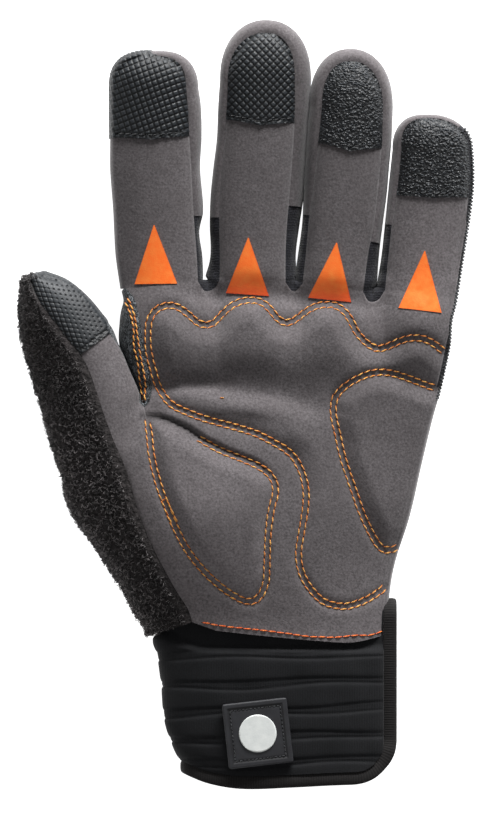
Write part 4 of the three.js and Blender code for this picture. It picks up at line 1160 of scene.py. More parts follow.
# Suede side strips of the fingers, and the black gussets round the bottoms of their gaps
def fourchette(name):
    rows = finger_plans[name]
    length = len(rows)
    start = {"index": length + round(FINGER_COLUMNS * 0.4) - 2}.get(name, gusset_row(name, 0))
    boundary = finger_boundary(name)
    end = length + FINGER_COLUMNS + 1 if name == "little" else len(boundary) - gusset_row(name, 1)
    strip = side_strip(boundary[start:end], dip=SEAM_DIP)
    return cloth(f"{name}_side_strip", [strip], shade=suede_painted_light)


def crotch(i):
    before, after = NAMES[i], NAMES[i + 1]
    down = finger_plans[before][: gusset_row(before, 1) + 1, -1][::-1]
    up = finger_plans[after][: gusset_row(after, 0) + 1, 0]
    at = [np.argmin(np.hypot(*(top_edge[:, :2] - end[:2]).T)) for end in (down[-1], up[0])]
    line = np.concatenate([down, top_edge[at[0] + 1 : at[1]], up])
    outer, inner = side_strip(line, even=30)
    crease = 0.35 * np.sin(np.arange(len(line)) * 0.55)[:, None, None] * bell(
        np.linspace(-1, 1, outer.shape[1]), 0.7)[None, :, None]
    return cloth(f"crotch_knit_{before}_{after}", [(outer + crease * [0, 0, 1], inner)])


for name in NAMES:
    place(fourchette(name), SUEDE, "suede", f"{name}_fourchette")
for i in range(3):
    place(crotch(i), KNIT, "black_knit", f"crotch_gusset_{NAMES[i]}_{NAMES[i + 1]}")


# Knit back of the hand, with the side wall up to the palm along the little finger
def back_piece():
    half = slice(None, None, 2)
    patches = [back_pair(rows[half, half]) for rows in finger_plans.values()]
    patches.append(back_pair(palm_grid[half, half]))
    patches.append(back_pair(thumb_grid[THUMB_BASE::2, half]))
    little_edge = finger_plans["little"][half, -1][::-1]
    palm_edge = palm_grid[half, -1][1:]
    line = np.concatenate([little_edge, palm_edge[palm_edge[:, Y] >= KNIT_EDGE_END]])
    patches.append(side_strip(line, back_gap=0))
    return cloth("knit_back", patches)


place(back_piece(), KNIT, "black_knit", "back_panel")


# Pebbled saddle between the index finger and the thumb
def saddle_piece():
    reach = profile(SADDLE_EDGE, "reach")
    palm_side = palm_grid[: SADDLE_ROWS + 1, 0].copy()
    palm_side[:, REACH] = reach(palm_side[:, Y]) + 1.6 * bell(palm_side[:, Y] - 3, 4)
    thumb_side = thumb_grid[8:THUMB_BASE, -1].copy()
    thumb_side[:, REACH] *= smooth(18, 25, thumb_side[:, Y])
    thumb_side[:, REACH] += 0.9 * bell(thumb_side[:, Y] - 1, 3)
    line = np.concatenate([thumb_side, palm_side[::-1]])
    outer, inner = side_strip(line, segments=24, even=6, dip=SEAM_DIP)
    grain = 0.4 * np.abs(ripple(outer, 0.8, 4.0))[..., None]
    return cloth("saddle", [(outer + grain * [0, 0, 1], inner)])


saddle = place(saddle_piece(), CURLED, "pebbled_leather", "thumb_saddle")


# Terry round the outside and back of the thumb, down to the hem
def terry_lines():
    lower = thumb_grid[THUMB_BASE:, 0]
    join = thumb_grid[THUMB_BASE]
    upper = thumb_grid[:THUMB_BASE, 0]
    tip = thumb_grid[0, 1:].copy()
    tip[:, REACH] = THUMB_TIP_REACH * smooth(1, 0.2, np.linspace(0, 1, len(tip)))
    return lower, join, upper, tip


def terry_piece():
    lower, join, upper, tip = terry_lines()
    style = dict(wall=TERRY_WALL, segments=28, even=4)
    outer_line = np.concatenate([lower[::-1], upper[::-1], tip])
    outer, inner = side_strip(outer_line, back_gap=0, **style)
    rim = np.linspace(0, 1, outer.shape[1])
    outer = outer + 0.9 * bell(rim - 0.045, 0.03)[None, :, None] * [0, 0, 1]
    fluff = 0.3 * ripple(outer, 1.4, 9.0)[..., None]
    lift = np.sin(np.pi * rim)[None, :, None]
    outer = outer + fluff * lift * [-0.7, 0, 0.7]
    back = np.concatenate([thumb_grid[:THUMB_BASE], join[None]])
    return cloth("terry_back", [(outer, inner), back_pair(back, TERRY_WALL)]), outer


terry, terry_face = terry_piece()
place(terry, TERRY, "terry", "thumb_back")


# The skins over the fingertips
def ridge(t, edge):
    """1 on a tile and 0 in the groove between two tiles."""
    return smooth(0.05, edge, 0.5 - np.abs(t - np.floor(t) - 0.5))


def diamonds(x, y, pitch, turn, skew):
    """Embossed tiles between two sets of slanting grooves."""
    a = (x * np.cos(turn) + y * np.sin(turn)) / pitch
    b = (x * np.cos(skew) + y * np.sin(skew)) / pitch
    return np.minimum(ridge(a, 0.24), ridge(b, 0.24))


def dimples(x, y, pitch, turn, skew):
    """The same tiles, that run together away from the thumb's outer side and leave small holes."""
    a = ridge((x * np.cos(turn) + y * np.sin(turn)) / pitch, 0.24)
    b = ridge((x * np.cos(skew) + y * np.sin(skew)) / pitch, 0.24)
    return lerp(np.minimum(a, b), np.maximum(a, b), smooth(-70, -62, x + 0.75 * (y - 36)))


def pebbles(x, y):
    """Leather grain: rounded cells of uneven size."""
    flat = np.stack([x, y], axis=-1).reshape(-1, 2)
    heights = []
    for px, py in flat:
        place = Vector((px * 0.8 + py * 0.25, py * 1.1, 0.0))
        near, second = noise.voronoi(place)[0][:2]
        heights.append(min(1.0, (second - near) * 2.2))
    return np.reshape(heights, np.shape(x))


def skin(rows, relief, lift, height, hem_row=0):
    """A sheet over the palm panel, with a relief pressed into it and a stitched lower edge."""
    # tone is the relief's height; the grip material turns it into painted shade in the grooves
    tone = relief(rows[..., X], rows[..., Y])
    outer = face(rows, FRONT, lift + height * tone)
    lower = rows[[hem_row], :]
    above = np.hypot(rows[..., X] - lower[..., X], rows[..., Y] - lower[..., Y])
    hem = smooth(2.4, 1.7, above)
    # near the hem the tone follows the crinkles, painted shade in their hollows
    crinkle = 0.5 + 1.1 * ripple(outer, 0.8, 5.0)
    tone = lerp(tone, np.clip(crinkle, 0, 1), hem)
    lift = lift * (1 - 0.4 * bell(above - 1.4, 0.45))
    outer = face(rows, FRONT, lift + height * tone)
    return outer, face(rows, FRONT, 0.05), tone


def skin_roll(line, relief, lift, height, steps=12):
    """The part of a skin that wraps over the edge of the glove."""
    v = np.linspace(0, 0.55, steps + 1)[None, :]
    out, turn = np.sin(np.pi * v), (1 - np.cos(np.pi * v)) / 2
    side = normals_of(line)
    front, back, reach = (line[:, key, None] for key in (FRONT, BACK, REACH))
    half = (front - back) / 2
    drop = np.abs(half) * 2 * turn
    arc = np.hypot(reach * out, drop)
    # tone is the relief's height, painted shade in the grooves
    tone = relief(line[:, X, None] + side[:, :1] * arc, line[:, Y, None] + side[:, 1:] * arc)
    proud = lerp(lift[:, None], 0.05, smooth(0, 0.35, v)) + height * tone

    def at(extra):
        spread = reach * out + extra * out
        z = front - drop + extra * np.cos(np.pi * v)
        x = line[:, X, None] + side[:, :1] * spread
        y = line[:, Y, None] + side[:, 1:] * spread
        return np.stack([x, y, z], axis=-1)

    return at(proud), at(0.05), tone


RELIEFS = {
    "index": lambda x, y: diamonds(x, y, 1.84, 1.93, 0.32),
    "middle": lambda x, y: diamonds(x, y, 1.78, 2.36, 0.78),
    "thumb": lambda x, y: dimples(x, y, 1.5, 1.45, 0.35),
    "ring": pebbles,
    "little": pebbles,
}


def seam_fade(rows, dips, lift):
    """How far a skin stands off: less where it runs into a seam."""
    edge = np.concatenate([rows[:, 0], rows[-1, 1:-1], rows[::-1, -1]])
    near = bell(line_distance(rows[..., X], rows[..., Y], edge[::3]), 0.9)
    return lift * (1 - 0.75 * near * dips)


def tip_patch(name):
    finger = FINGERS[name]
    across = round((finger["right"](finger["cap"]) - finger["left"](finger["cap"])) / GRIP_STEP)
    along = round((finger["cap"] - finger["patch_y"]) / GRIP_STEP)
    u = np.linspace(-1, 1, across + 1)
    rows = finger_plan(
        finger, u, np.linspace(PATCH_SHARE, 1, along + 1),
        np.linspace(0, 1, round((finger["tip"] - finger["cap"]) / GRIP_STEP) + 1)[1:],
    )
    lower = np.interp(u, [-1, 0, 1], finger["patch"]) - finger["patch_y"]
    lower = lower + 0.4 * (np.abs(u) - u * u)
    rows[: along + 1, :, Y] += np.linspace(1, 0, along + 1)[:, None] * lower[None, :]
    dips = np.interp(u, [-1, -0.3, 0.2, 1], np.repeat(finger["dips"], 2))[None, :]
    lift = seam_fade(rows, dips, GRIP_LIFT)
    patches = [skin(rows, RELIEFS[name], lift, GRIP_RELIEF)]
    if name == "index":
        turn = round(across * 0.7)
        line = np.concatenate([rows[:, 0], rows[-1, 1 : turn + 1]])
        line_lift = np.concatenate([lift[:, 0], lift[-1, 1 : turn + 1]])
        last = len(line) - 1
        line[:, REACH] *= lerp(0.05, 1, smooth(last, last - turn * 0.31, np.arange(last + 1)))
        patches.append(skin_roll(line, RELIEFS[name], line_lift, GRIP_RELIEF))
    return cloth(f"{name}_tip", patches, sharp=80)


def thumb_patch():
    rows = thumb_upper(np.linspace(0, 4, 150), np.linspace(0, 1, 70))
    line = np.concatenate([rows[0, :-1], rows[:, -1]])
    last = len(line) - 1
    along = np.arange(last + 1)
    line[:, REACH] = THUMB_TIP_REACH * smooth(0, len(rows[0]) * 0.25, along) * smooth(last, last - 30, along)
    near = bell(line_distance(rows[..., X], rows[..., Y], rows[:, 0][::3]), 0.9)
    lift = GRIP_LIFT * (1 - 0.75 * near)
    outer, inner, tone = skin(rows, RELIEFS["thumb"], lift, GRIP_RELIEF, hem_row=-1)
    # painted shade, darker towards the patch's lower right
    tone = tone * lerp(1, 0.55, smooth(-64, -48, rows[..., X]))
    roll = skin_roll(line, RELIEFS["thumb"], np.concatenate([lift[0, :-1], lift[:, -1]]), GRIP_RELIEF)
    patches = [(outer, inner, tone), roll]
    return cloth("thumb_tip", patches, sharp=80)


tips = {}
for name in NAMES:
    look, slot = (GRIP, "diamond_grip") if name in ("index", "middle") else (PEBBLE, "pebbled_leather")
    tips[name] = place(tip_patch(name), look, slot, f"{name}_tip_patch")
place(thumb_patch(), GRIP, "diamond_grip", "thumb_tip_patch")


# Printed triangles
def triangle(name):
    apex, left, right = (np.array(corner) for corner in TRIANGLES[name])
    down = np.linspace(0.02, 1, 44)[:, None, None]
    across = np.linspace(0, 1, 36)[None, :, None]
    points = lerp(apex, lerp(left, right, across), down)
    heights = np.array([[on_palm(*p)[0][2] for p in row] for row in points])
    padded = np.pad(heights, ((4, 4), (0, 0)), mode="edge")
    heights = np.mean([padded[k : k + len(heights)] for k in range(9)], axis=0)
    outline = np.array([apex, left, right])
    edge = inside_distance(points[..., 0], points[..., 1], outline + (outline - outline.mean(0)) * 0.03)
    # painted shade: the print darker along its edges, and towards the base of the middle and ring triangles,
    # where the surface slopes
    low = smooth(8, 0, points[..., 1] - left[1]) if name in ("middle", "ring") else 0.0
    base = smooth(3.5, 0, points[..., 1] - left[1]) if name in ("middle", "ring") else 0.0
    tone = np.clip(0.8 + 0.2 * smooth(0, 0.8, edge) - 0.35 * low - 0.4 * base, 0, 1)
    top = np.concatenate([points, (heights + 0.32)[..., None]], axis=-1)
    under = np.concatenate([points, (heights + 0.04)[..., None]], axis=-1)
    return cloth(f"{name}_print", [(top, under, tone)])


for name in NAMES:
    place(triangle(name), PRINT, "orange_print", f"{name}_triangle")


# The cuff, its binding and its label
cuff_left = profile(CUFF_SECTIONS, "left")
cuff_right = profile(CUFF_SECTIONS, "right")
mouth_line = profile(CUFF_MOUTH, "y", "x")


def cuff_point(angle, y, depth):
    """A point of the cuff at an angle round the wrist, a depth in from its outer face."""
    angle, y = np.broadcast_arrays(angle, y)
    later = 4.5 * smooth(-0.5, -0.95, np.cos(angle))
    tucked = smooth(-82.2 + later, CUFF_TUCK_Y + later, y)
    power = 2 / WRIST_SQUARENESS
    across = np.sign(np.cos(angle)) * np.abs(np.cos(angle)) ** power
    up = np.sign(np.sin(angle)) * np.abs(np.sin(angle)) ** power
    half_width = (cuff_right(y) - cuff_left(y)) / 2
    centre = (cuff_right(y) + cuff_left(y)) / 2
    share = np.clip((centre + across * half_width + 30) / 75, 0, 1)
    groove = 0.0
    for left, right in zip(VALLEYS["left"], VALLEYS["right"]):
        at = lerp(left, right, share) + 0.5 * np.sin(share * 9 + left)
        apart = 1.0 + 0.35 * np.sin(share * 7 - left)
        groove = np.maximum(groove, 0.4 * bell(y - at, 1.5))
        groove = groove + 0.25 * bell(y - at - apart, 0.42) + 0.4 * bell(y - at + apart, 0.42)
    inset = depth + CUFF_TUCK * tucked + RIB_DEPTH * groove * (1 - tucked)
    extra = np.where(np.sin(angle) < 0, EXTRA_BACK * (1 - tucked), 0)
    z = WRIST_Z + up * (WRIST_HALF_HEIGHT + extra - inset)
    x = np.minimum(CUFF_EDGE_X, centre + across * (half_width - inset))
    beside_vent = smooth(OPEN_ANGLE + 0.4, OPEN_ANGLE, np.minimum(angle, 2 * np.pi - angle))
    x = lerp(x, CUFF_EDGE_X, beside_vent)
    return np.stack([x, y, np.maximum(depth, z)], axis=-1)


def mouth_y(x):
    past = np.clip(x - (CUFF_EDGE_X - CORNER_RADIUS), 0, CORNER_RADIUS)
    return mouth_line(x) + CORNER_RADIUS - np.sqrt(CORNER_RADIUS**2 - past * past)


def cuff_grid(angles, y, depth):
    ends = cuff_point(angles, CUFF_END, 0)
    lift = (mouth_y(ends[..., 0]) - CUFF_END)[:, None]
    share = np.clip((y - CUFF_TUCK_Y) / (CUFF_END - CUFF_TUCK_Y), 0, 1)
    return cuff_point(angles[:, None], y[None, :] + lift * share[None, :], depth)


def cuff_angles(count):
    t = np.linspace(0, 1, count + 1)
    return lerp(OPEN_ANGLE, 2 * np.pi - OPEN_ANGLE, t - 0.1 * np.sin(2 * np.pi * t))


def cuff_piece():
    angles, y = cuff_angles(200), np.linspace(CUFF_TOP, CUFF_END, 130)
    outer = cuff_grid(angles, y, 0)
    sag = 0.25 * ripple(outer, 9.0, 3.0)[..., None] * [0, 0, 1] * smooth(-80, -84, outer[..., 1:2])
    return cloth("ribbed_cuff", [(outer + sag, cuff_grid(angles, y, CUFF_WALL))])


place(cuff_piece(), NEOPRENE, "neoprene", "cuff")


def binding_path():
    """Points along the tape's fold, with the directions across it and up through it."""
    angles = cuff_angles(120)
    middle = cuff_grid(angles, np.array([CUFF_END + 3.9, CUFF_END]), CUFF_WALL / 2)
    outer = cuff_grid(angles, np.array([CUFF_END + 3.9, CUFF_END]), 0)
    edge = middle[:, 1]
    front_z, back_z = middle[0, 0, 2], middle[-1, 0, 2]
    radius, turn_z = (front_z - back_z) / 2, (front_z + back_z) / 2
    side = np.array([1.0, 0, 0])
    rows = []
    for angle in np.linspace(-np.pi / 2, np.pi / 2, 25):
        up = np.array([0, np.cos(angle), np.sin(angle)])
        rows.append([*(np.array([CUFF_EDGE_X, VENT_TOP_Y - radius, turn_z]) + up * radius), *side, *up])
    rows += [[CUFF_EDGE_X, y, front_z, *side, 0, 0, 1] for y in np.linspace(-75, -108, 12)]
    for k in range(len(angles)):
        up = (outer[k, 1] - edge[k]) * [1, 0, 1]
        past = np.clip(edge[k, 0] - (CUFF_EDGE_X - CORNER_RADIUS), 0, CORNER_RADIUS) / CORNER_RADIUS
        out = side if k in (0, len(angles) - 1) else np.array([past, -np.sqrt(1 - past * past), 0])
        rows.append([*edge[k], *out, *(up / np.linalg.norm(up))])
    rows += [[CUFF_EDGE_X, y, back_z, *side, 0, 0, -1] for y in np.linspace(-108, -75, 12)]
    rows.append(rows[0])
    path = resample(np.array(rows), step=0.2)[:-1]
    return np.mean([np.roll(path, shift, axis=0) for shift in range(-8, 9)], axis=0)


def closed_tube(name, rings, tone=None, uv=None):
    """A closed loop of closed rings."""
    count, sides = rings.shape[:2]
    i = np.arange(count)[:, None] * sides
    after = np.roll(np.arange(count), -1)[:, None] * sides
    j = np.arange(sides)[None, :]
    next_j = np.roll(np.arange(sides), -1)[None, :]
    faces = np.stack([i + j, i + next_j, after + next_j, after + j], axis=-1).reshape(-1, 4)
    return mesh_piece(name, rings.reshape(-1, 3), faces, uv=uv, shade=tone)


def binding_piece():
    path = binding_path()
    angle = np.linspace(0, 2 * np.pi, 18, endpoint=False)[None, :, None]
    arc = 0.2 * np.arange(len(path))[:, None, None]
    rib = 0.5 + 0.5 * np.cos(2 * np.pi * arc / 0.8)
    fatness = 0.11 * rib + 0.1 * np.sin(arc * 0.21) * np.sin(arc * 0.077)
    across = BINDING_WIDTH / 2 * (1 + np.sign(np.cos(angle)) * np.abs(np.cos(angle)) ** 0.6)
    rise = np.sign(np.sin(angle)) * np.abs(np.sin(angle)) ** 0.7
    rise = rise * (BINDING_THICKNESS / 2 + fatness - 0.12)
    crease = 0.25 * bell(across - 0.9, 0.35) * np.sign(np.sin(angle))
    point, out, up = path[:, None, 0:3], path[:, None, 3:6], path[:, None, 6:9]
    rings = point + out * (SEAM_GAP + across - 0.05) + up * (rise - crease)
    # painted shade: the rib profile darkens the tape between the ribs
    tone = np.broadcast_to(rib, rings.shape[:2] + (1,))
    return closed_tube("tape_binding", rings, tone=tone.ravel())


place(binding_piece(), TAPE, "binding_tape", "cuff_binding")


def label_frame(points):
    """Turns points of the label's own plan into their place on the cuff."""
    c, s = np.cos(LABEL_TURN), np.sin(LABEL_TURN)
    x = LABEL_X + points[..., 0] * c - points[..., 1] * s
    y = LABEL_Y + points[..., 0] * s + points[..., 1] * c
    return np.stack([x, y, points[..., 2] + WRIST_Z + WRIST_HALF_HEIGHT + 0.3], axis=-1)


def label_piece():
    half = LABEL_SIDE / 2
    side = np.linspace(-half, half, 97)
    x, y = np.meshgrid(side, side)
    reach = np.hypot(np.maximum(np.abs(x) - half + 1, 0), np.maximum(np.abs(y) - half + 1, 0))
    shrink = np.where(reach > 1, 1 / np.maximum(reach, 1), 1)
    corner = (np.abs(x) > half - 1) & (np.abs(y) > half - 1)
    x = np.where(corner, np.sign(x) * (half - 1 + (np.abs(x) - half + 1) * shrink), x)
    y = np.where(corner, np.sign(y) * (half - 1 + (np.abs(y) - half + 1) * shrink), y)
    edge = half - np.maximum(np.abs(x), np.abs(y))
    height = LABEL_WALL + RIM_RISE * smooth(LABEL_RIM + 0.25, LABEL_RIM - 0.1, edge)
    height = height - 0.35 * smooth(0.5, 0, edge) ** 2 - 0.12 * bell(edge - 2.35, 0.35)
    # painted shade in the groove inside the rim and along the stitch line
    tone = 1 - 0.7 * bell(edge - LABEL_RIM - 0.15, 0.28) - 0.3 * bell(edge - 2.35, 0.3)
    top = label_frame(np.stack([x, y, height], axis=-1))
    return cloth("rubber_label", [(top, label_frame(np.stack([x, y, 0 * x - 0.25], axis=-1)), tone)])


def disc_piece():
    side = np.linspace(-1, 1, 61)
    u, v = np.meshgrid(side, side)
    x, y = u * np.sqrt(1 - v * v / 2), v * np.sqrt(1 - u * u / 2)
    inward = DISC_RADIUS * (1 - np.maximum(np.abs(u), np.abs(v)))
    rise = (DISC_WALL - 0.1) * (1 - 0.5 * smooth(0.4, 0, inward) ** 2)
    points = np.stack([x * DISC_RADIUS, y * DISC_RADIUS, LABEL_WALL + rise], axis=-1)
    under = np.stack([x * DISC_RADIUS, y * DISC_RADIUS, LABEL_WALL - 0.1 + 0 * x], axis=-1)
    return cloth("plain_disc", [(label_frame(points), label_frame(under))])


label = place(label_piece(), RUBBER, "label_rubber", "label_patch")
place(disc_piece(), EMBLEM, "label_white", "label_disc")


# Threads
def tubes(paths, radii, sides=6):
    """Many short tubes, each through its own row of points."""
    paths, radii = np.asarray(paths, float), np.asarray(radii, float)
    count, steps = paths.shape[:2]
    tangent = np.gradient(paths, axis=1)
    tangent /= np.maximum(np.linalg.norm(tangent, axis=2, keepdims=True), 1e-9)
    across = np.cross(tangent, np.array([0.0, 0.0, 1.0]))
    across = across + 1e-6 * np.array([1.0, 0, 0])
    across /= np.linalg.norm(across, axis=2, keepdims=True)
    up = np.cross(across, tangent)
    angle = np.linspace(0, 2 * np.pi, sides, endpoint=False)
    ring = across[:, :, None] * np.cos(angle)[:, None] + up[:, :, None] * np.sin(angle)[:, None]
    points = paths[:, :, None] + ring * np.broadcast_to(radii, (count, steps))[:, :, None, None]
    i = (np.arange(steps - 1)[:, None] * sides + np.arange(sides)[None, :]).ravel()
    j = (np.arange(steps - 1)[:, None] * sides + np.roll(np.arange(sides), -1)[None, :]).ravel()
    one = np.stack([i, j, j + sides, i + sides], axis=1)
    faces = (one[None] + (np.arange(count) * steps * sides)[:, None, None]).reshape(-1, 4)
    share = np.broadcast_to(np.linspace(0, 1, steps)[None, :, None], (count, steps, sides))
    round_share = np.broadcast_to(np.linspace(0, 1, sides)[None, None, :], (count, steps, sides))
    uv = np.stack([share * 3, round_share], axis=-1).reshape(-1, 2)
    return points.reshape(-1, 3), faces, uv, share.reshape(-1)


def surface_under(tree, x, y):
    hit, normal, _, _ = tree.ray_cast(Vector((x, y, 100)), Vector((0, 0, -1)))
    if hit is None:
        return None
    normal = -normal if normal.z < 0 else normal
    return np.array(hit), np.array(normal)


def tree_of(obj):
    mesh = obj.data
    return BVHTree.FromPolygons([v.co * 1000 for v in mesh.vertices], [p.vertices for p in mesh.polygons])


def in_crease(x, y):
    """Whether a stitch lies hidden in the crease above the thumb's pad."""
    return -31.5 < x < -14 and abs(y + 6.4 + 0.44 * (x + 21.3)) < 3.2 and y < -2.6


def sew(name, lines, tree, look, slot, pitch=STITCH_PITCH, radius=THREAD_RADIUS, slant=0.12, cover=0.9):
    """Rows of stitches that dive into the cloth at their ends, with a painted highlight along each stitch's
    middle, and dark discs of painted shade at the holes between them.
    """
    t = np.linspace(0, 1, 8)
    bow = np.sin(np.pi * t)
    paths, hole_shadows = [], []
    for line in lines:
        even = resample(np.asarray(line, float)[:, :2], step=pitch)
        for a, b in zip(even[:-1], even[1:]):
            turn = np.array([-(b - a)[1], (b - a)[0]]) * slant
            jitter = random.normal(0, 0.03, 2)
            gap = (1 - cover) / 2
            start, end = lerp(a, b, gap) - turn / 2 + jitter, lerp(a, b, 1 - gap) + turn / 2 + jitter
            found = [surface_under(tree, *lerp(start, end, s)) for s in (0, 0.5, 1)]
            if any(f is None for f in found) or in_crease(*start):
                continue
            base = [f[0] for f in found]
            normal = found[1][1]
            centre = np.stack([lerp(base[0], base[2], s) for s in t])
            lift = (base[1] - (base[0] + base[2]) / 2)[None] * bow[:, None]
            paths.append(centre + lift + normal * (radius * (1.1 * bow - 0.4))[:, None])
            hole_shadows.append(surface_under(tree, *a))
    radii = radius * (0.62 + 0.38 * bow)
    points, faces, uv, tone = tubes(paths, radii)
    place(mesh_piece(name, points, faces, uv=uv, shade=4 * tone * (1 - tone)), look, slot)
    # dark discs of painted shade at the needle holes between the stitches
    angle = np.linspace(0, 2 * np.pi, 8, endpoint=False)
    rings = []
    for found in hole_shadows:
        if found is None:
            continue
        hit, normal = found
        side = np.cross(normal, [0, 1, 0.1])
        side /= np.linalg.norm(side)
        other = np.cross(normal, side)
        ring = hit + normal * 0.04 + radius * (
            np.cos(angle)[:, None] * side + np.sin(angle)[:, None] * other)
        rings.append(ring)
    count = len(rings)
    faces = np.arange(count * 8).reshape(count, 8)
    hole_shadow = ORANGE_HOLE_SHADOW if slot == "orange_print" else BLACK_HOLE_SHADOW
    place(mesh_piece(f"{name}_holes", np.concatenate(rings), faces), hole_shadow, slot)


# Dark discs of painted shade for the needle holes between stitches
def hole_shadow_look(name, dark, light):
    look = Look(name, specular_ior_level=0.1)
    colour = look.mix(look.remap(look.noise(0.6), 0.35, 0.65), dark, light)
    look.bump(look.noise(0.2), 0.03)
    return look.finish(colour, 0.95)


ORANGE_HOLE_SHADOW = hole_shadow_look("stitch_hole_shadows", srgb(58, 36, 22), srgb(92, 58, 34))
BLACK_HOLE_SHADOW = hole_shadow_look("black_stitch_hole_shadows", srgb(8, 8, 9), srgb(18, 18, 20))

pad_lines = []
for seam in PAD_SEAMS.values():
    pad_lines += [seam["outer"], seam["inner"]]
BACKTACKS = [
    [(-28.0, -31.4), (-26.4, -34.9), (-24.6, -39.2)],
    [(-27.9, -31.7), (-26.2, -30.7)],
    [(-26.2, -31.0), (-24.6, -34.4), (-22.6, -38.6)],
]
pad_lines += [spline(line, step=0.5) for line in BACKTACKS]
LOOSE_END = [(-8.6, 2.15), (-7.4, 2.05)]
pad_lines.append(np.array(LOOSE_END))
sew("pad_stitches", pad_lines, palm_tree, ORANGE, "orange_print")

HEM_STITCHES = [
    (-17.3, -72.1), (-15.7, -71.6), (-7.8, -72.9), (3.8, -74.1), (12.7, -75.2), (20.6, -76.3),
    (29.9, -76.6), (36.1, -76.0), (40.4, -76.1), (45.0, -74.7),
]
sew("hem_stitches", [spline(HEM_STITCHES, step=0.5)], palm_tree, BRIGHT, "orange_print",
    pitch=2.7, radius=0.23, slant=0.05, cover=0.92)

LABEL_STITCHES = LABEL_SIDE / 2 - 2.4
corners = np.array([(-1, -1, 0), (1, -1, 0), (1, 1, 0), (-1, 1, 0), (-1, -1, 0)]) * LABEL_STITCHES
corners = label_frame(corners)
sew("label_stitches", [corners[k : k + 2] for k in range(4)], tree_of(label), BLACK_THREAD,
    "label_rubber", pitch=1.25, radius=0.17, slant=0.1, cover=0.75)

for name in NAMES:
    finger = FINGERS[name]
    u = np.linspace(-0.94, 0.94, 15)
    low_y = np.interp(u, [-1, 0, 1], finger["patch"]) + 0.4 * (np.abs(u) - u * u) + 1.4
    low_x = lerp(finger["left"](low_y), finger["right"](low_y), (u + 1) / 2)
    sew(f"{name}_tip_stitches", [np.stack([low_x, low_y], 1)], tree_of(tips[name]), BLACK_THREAD,
        "black_knit", pitch=2.2, radius=0.2)

SADDLE_STITCHES = [
    [(-41.0, 35.8), (-38.4, 30.4), (-37.2, 25.8), (-37.0, 18.9), (-35.8, 14.2), (-35.1, 7.8),
     (-34.0, 0.8)],
    [(-39.1, 35.1), (-37.2, 30.5), (-36.3, 25.8), (-35.1, 17.0), (-34.2, 12.8), (-33.3, 7.3),
     (-33.5, 1.3)],
]
sew("saddle_stitches", [spline(line, step=0.5) for line in SADDLE_STITCHES], tree_of(saddle),
    ORANGE, "orange_print", pitch=2.2, radius=0.25, slant=0.2, cover=0.97)


# Short loops of terry over the thumb's back
LOOP_COUNT = 6600


def terry_loops():
    cols = terry_face.shape[1]
    across = np.cross(terry_face[1:, :-1] - terry_face[:-1, :-1], terry_face[:-1, 1:] - terry_face[:-1, :-1])
    area = np.linalg.norm(across, axis=2)
    v = (np.arange(cols - 1) + 0.5) / (cols - 1)
    weight = area * np.where(v < 0.62, 1.0, 0.25)[None, :] * smooth(0.02, 0.06, v)[None, :]
    facing = np.sign(np.einsum("ijk,ijk->ij", across, np.broadcast_to([-0.6, 0, 0.8], across.shape)).sum())
    count = LOOP_COUNT
    cell = random.choice(weight.size, count, p=(weight / weight.sum()).ravel())
    i, j = np.unravel_index(cell, weight.shape)
    a, b = random.random((2, count, 1))
    base = lerp(
        lerp(terry_face[i, j], terry_face[i + 1, j], a),
        lerp(terry_face[i, j + 1], terry_face[i + 1, j + 1], a), b)
    normal = facing * across[i, j] / np.maximum(area[i, j], 1e-9)[:, None]
    lean = random.normal(0, 1, (count, 3))
    side = np.cross(normal, lean)
    side /= np.linalg.norm(side, axis=1, keepdims=True)
    tall = random.uniform(0.35, 0.95, (count, 1, 1))
    wide = random.uniform(0.3, 0.6, (count, 1, 1))
    t = np.linspace(0, np.pi, 5)[None, :, None]
    tip = normal + 0.25 * lean
    paths = base[:, None] + side[:, None] * np.cos(t) * wide + tip[:, None] * (np.sin(t) * tall - 0.1)
    points, faces, _, _ = tubes(paths, 0.13, sides=3)
    # Painted light: loops lighter along the seam rim and the outer side, and lighter towards the wrist end
    low = smooth(5, -20, base[:, 1])
    painted_rim_sheen = bell(v[j] - 0.04, 0.035) * (1 - low) + lerp(1, 1.6, low) * smooth(0.16, 0.42, v[j])
    tone = random.random(count) ** 1.8 * (0.95 + 0.8 * painted_rim_sheen) * lerp(0.38, 0.85, low)
    tone = np.repeat(tone, 5 * 3)
    return mesh_piece("terry_loops", points, faces, shade=tone)


place(terry_loops(), LOOPS, "terry")


# The rope-like overlocked edge down the little finger's side: one thread wound round the seam
OVERLOCK_TOP, OVERLOCK_BOTTOM = 91, 1.0
OVERLOCK_PITCH = 1.15
OVERLOCK_OUT, OVERLOCK_UP = 0.55, 0.9
OVERLOCK_THREAD = 0.34
OVERLOCK_STEP = 0.1
OVERLOCK_TAPER = 12


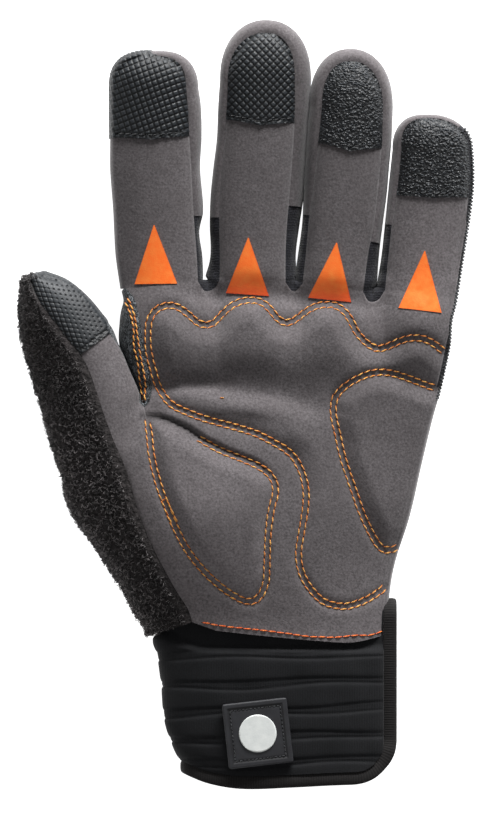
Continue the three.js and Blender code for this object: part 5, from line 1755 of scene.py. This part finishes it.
def overlock():
    little = finger_plans["little"]
    line = np.concatenate([little[int(FINGER_ROWS * 0.2):, -1][::-1], palm_grid[:, -1]])
    line = line[(line[:, Y] >= OVERLOCK_BOTTOM) & (line[:, Y] < OVERLOCK_TOP)]
    side = normals_of(line)
    centre = np.stack([
        line[:, X] + side[:, 0] * 0.95, line[:, Y] + side[:, 1] * 0.95, line[:, FRONT] - 1.6,
    ], axis=1)
    centre = resample(centre, step=OVERLOCK_STEP)
    rank = np.arange(len(centre))
    turn = 2 * np.pi * (OVERLOCK_STEP * rank) / OVERLOCK_PITCH
    out = normals_of(centre)
    helix = centre.copy()
    helix[:, :2] += out * (OVERLOCK_OUT * np.cos(turn))[:, None]
    helix[:, 2] += OVERLOCK_UP * np.sin(turn)
    ends = smooth(0, OVERLOCK_TAPER, rank) * smooth(len(centre), len(centre) - OVERLOCK_TAPER, rank)
    points, faces, uv, _ = tubes(helix[None], OVERLOCK_THREAD * ends[None], sides=7)
    return mesh_piece("overlocked_edge", points, faces, uv=uv * [len(centre) / 12, 1])


place(overlock(), BLACK_THREAD, "black_knit")


# The stage: a pale floor, soft light from the fingertips' side, and the camera overhead
def stage():
    mesh = bpy.data.meshes.new("floor")
    mesh.from_pydata([(-3, -3, 0), (3, -3, 0), (3, 3, 0), (-3, 3, 0)], [], [(0, 1, 2, 3)])
    floor = bpy.data.objects.new("floor", mesh)
    bpy.context.scene.collection.objects.link(floor)
    floor.location.z = float(cad_low.z) - 0.0002
    look = Look("floor", specular_ior_level=0.1, emission_color=(1, 1, 1, 1), emission_strength=1.0)
    floor.data.materials.append(look.finish((0.92, 0.92, 0.92, 1), 0.9))


def area_light(name, location, target, size, power):
    light = bpy.data.lights.new(name, "AREA")
    light.shape = "RECTANGLE"
    light.size, light.size_y = size
    light.energy = power
    obj = bpy.data.objects.new(name, light)
    bpy.context.scene.collection.objects.link(obj)
    obj.location = location
    obj.rotation_mode = "QUATERNION"
    obj.rotation_quaternion = (Vector(target) - Vector(location)).to_track_quat("-Z", "Y")


stage()
area_light("key", (0.3, 1.25, 0.4), (0, 0, 0), (0.9, 0.35), 42)
area_light("fill", (-0.3, -0.4, 1.2), (0, 0, 0), (0.8, 0.8), 2)
world = bpy.data.worlds.new("studio")
world.use_nodes = True
world.node_tree.nodes["Background"].inputs["Color"].default_value = (1, 1, 1, 1)
world.node_tree.nodes["Background"].inputs["Strength"].default_value = 0.2
bpy.context.scene.world = world
bpy.context.scene.view_settings.view_transform = "Standard"

CAMERA_HEIGHT = 2.0
VIEW_HEIGHT = 0.2683
GLOVE_MIDDLE = 0.015
SENSOR = 36
camera_data = bpy.data.cameras.new("camera")
camera_data.sensor_width = SENSOR
camera_data.lens = SENSOR * (CAMERA_HEIGHT - GLOVE_MIDDLE) / VIEW_HEIGHT
camera_data.clip_end = 10
camera = bpy.data.objects.new("camera", camera_data)
camera.location = (0.001155, -0.00066, CAMERA_HEIGHT)
bpy.context.scene.collection.objects.link(camera)
bpy.context.scene.camera = camera
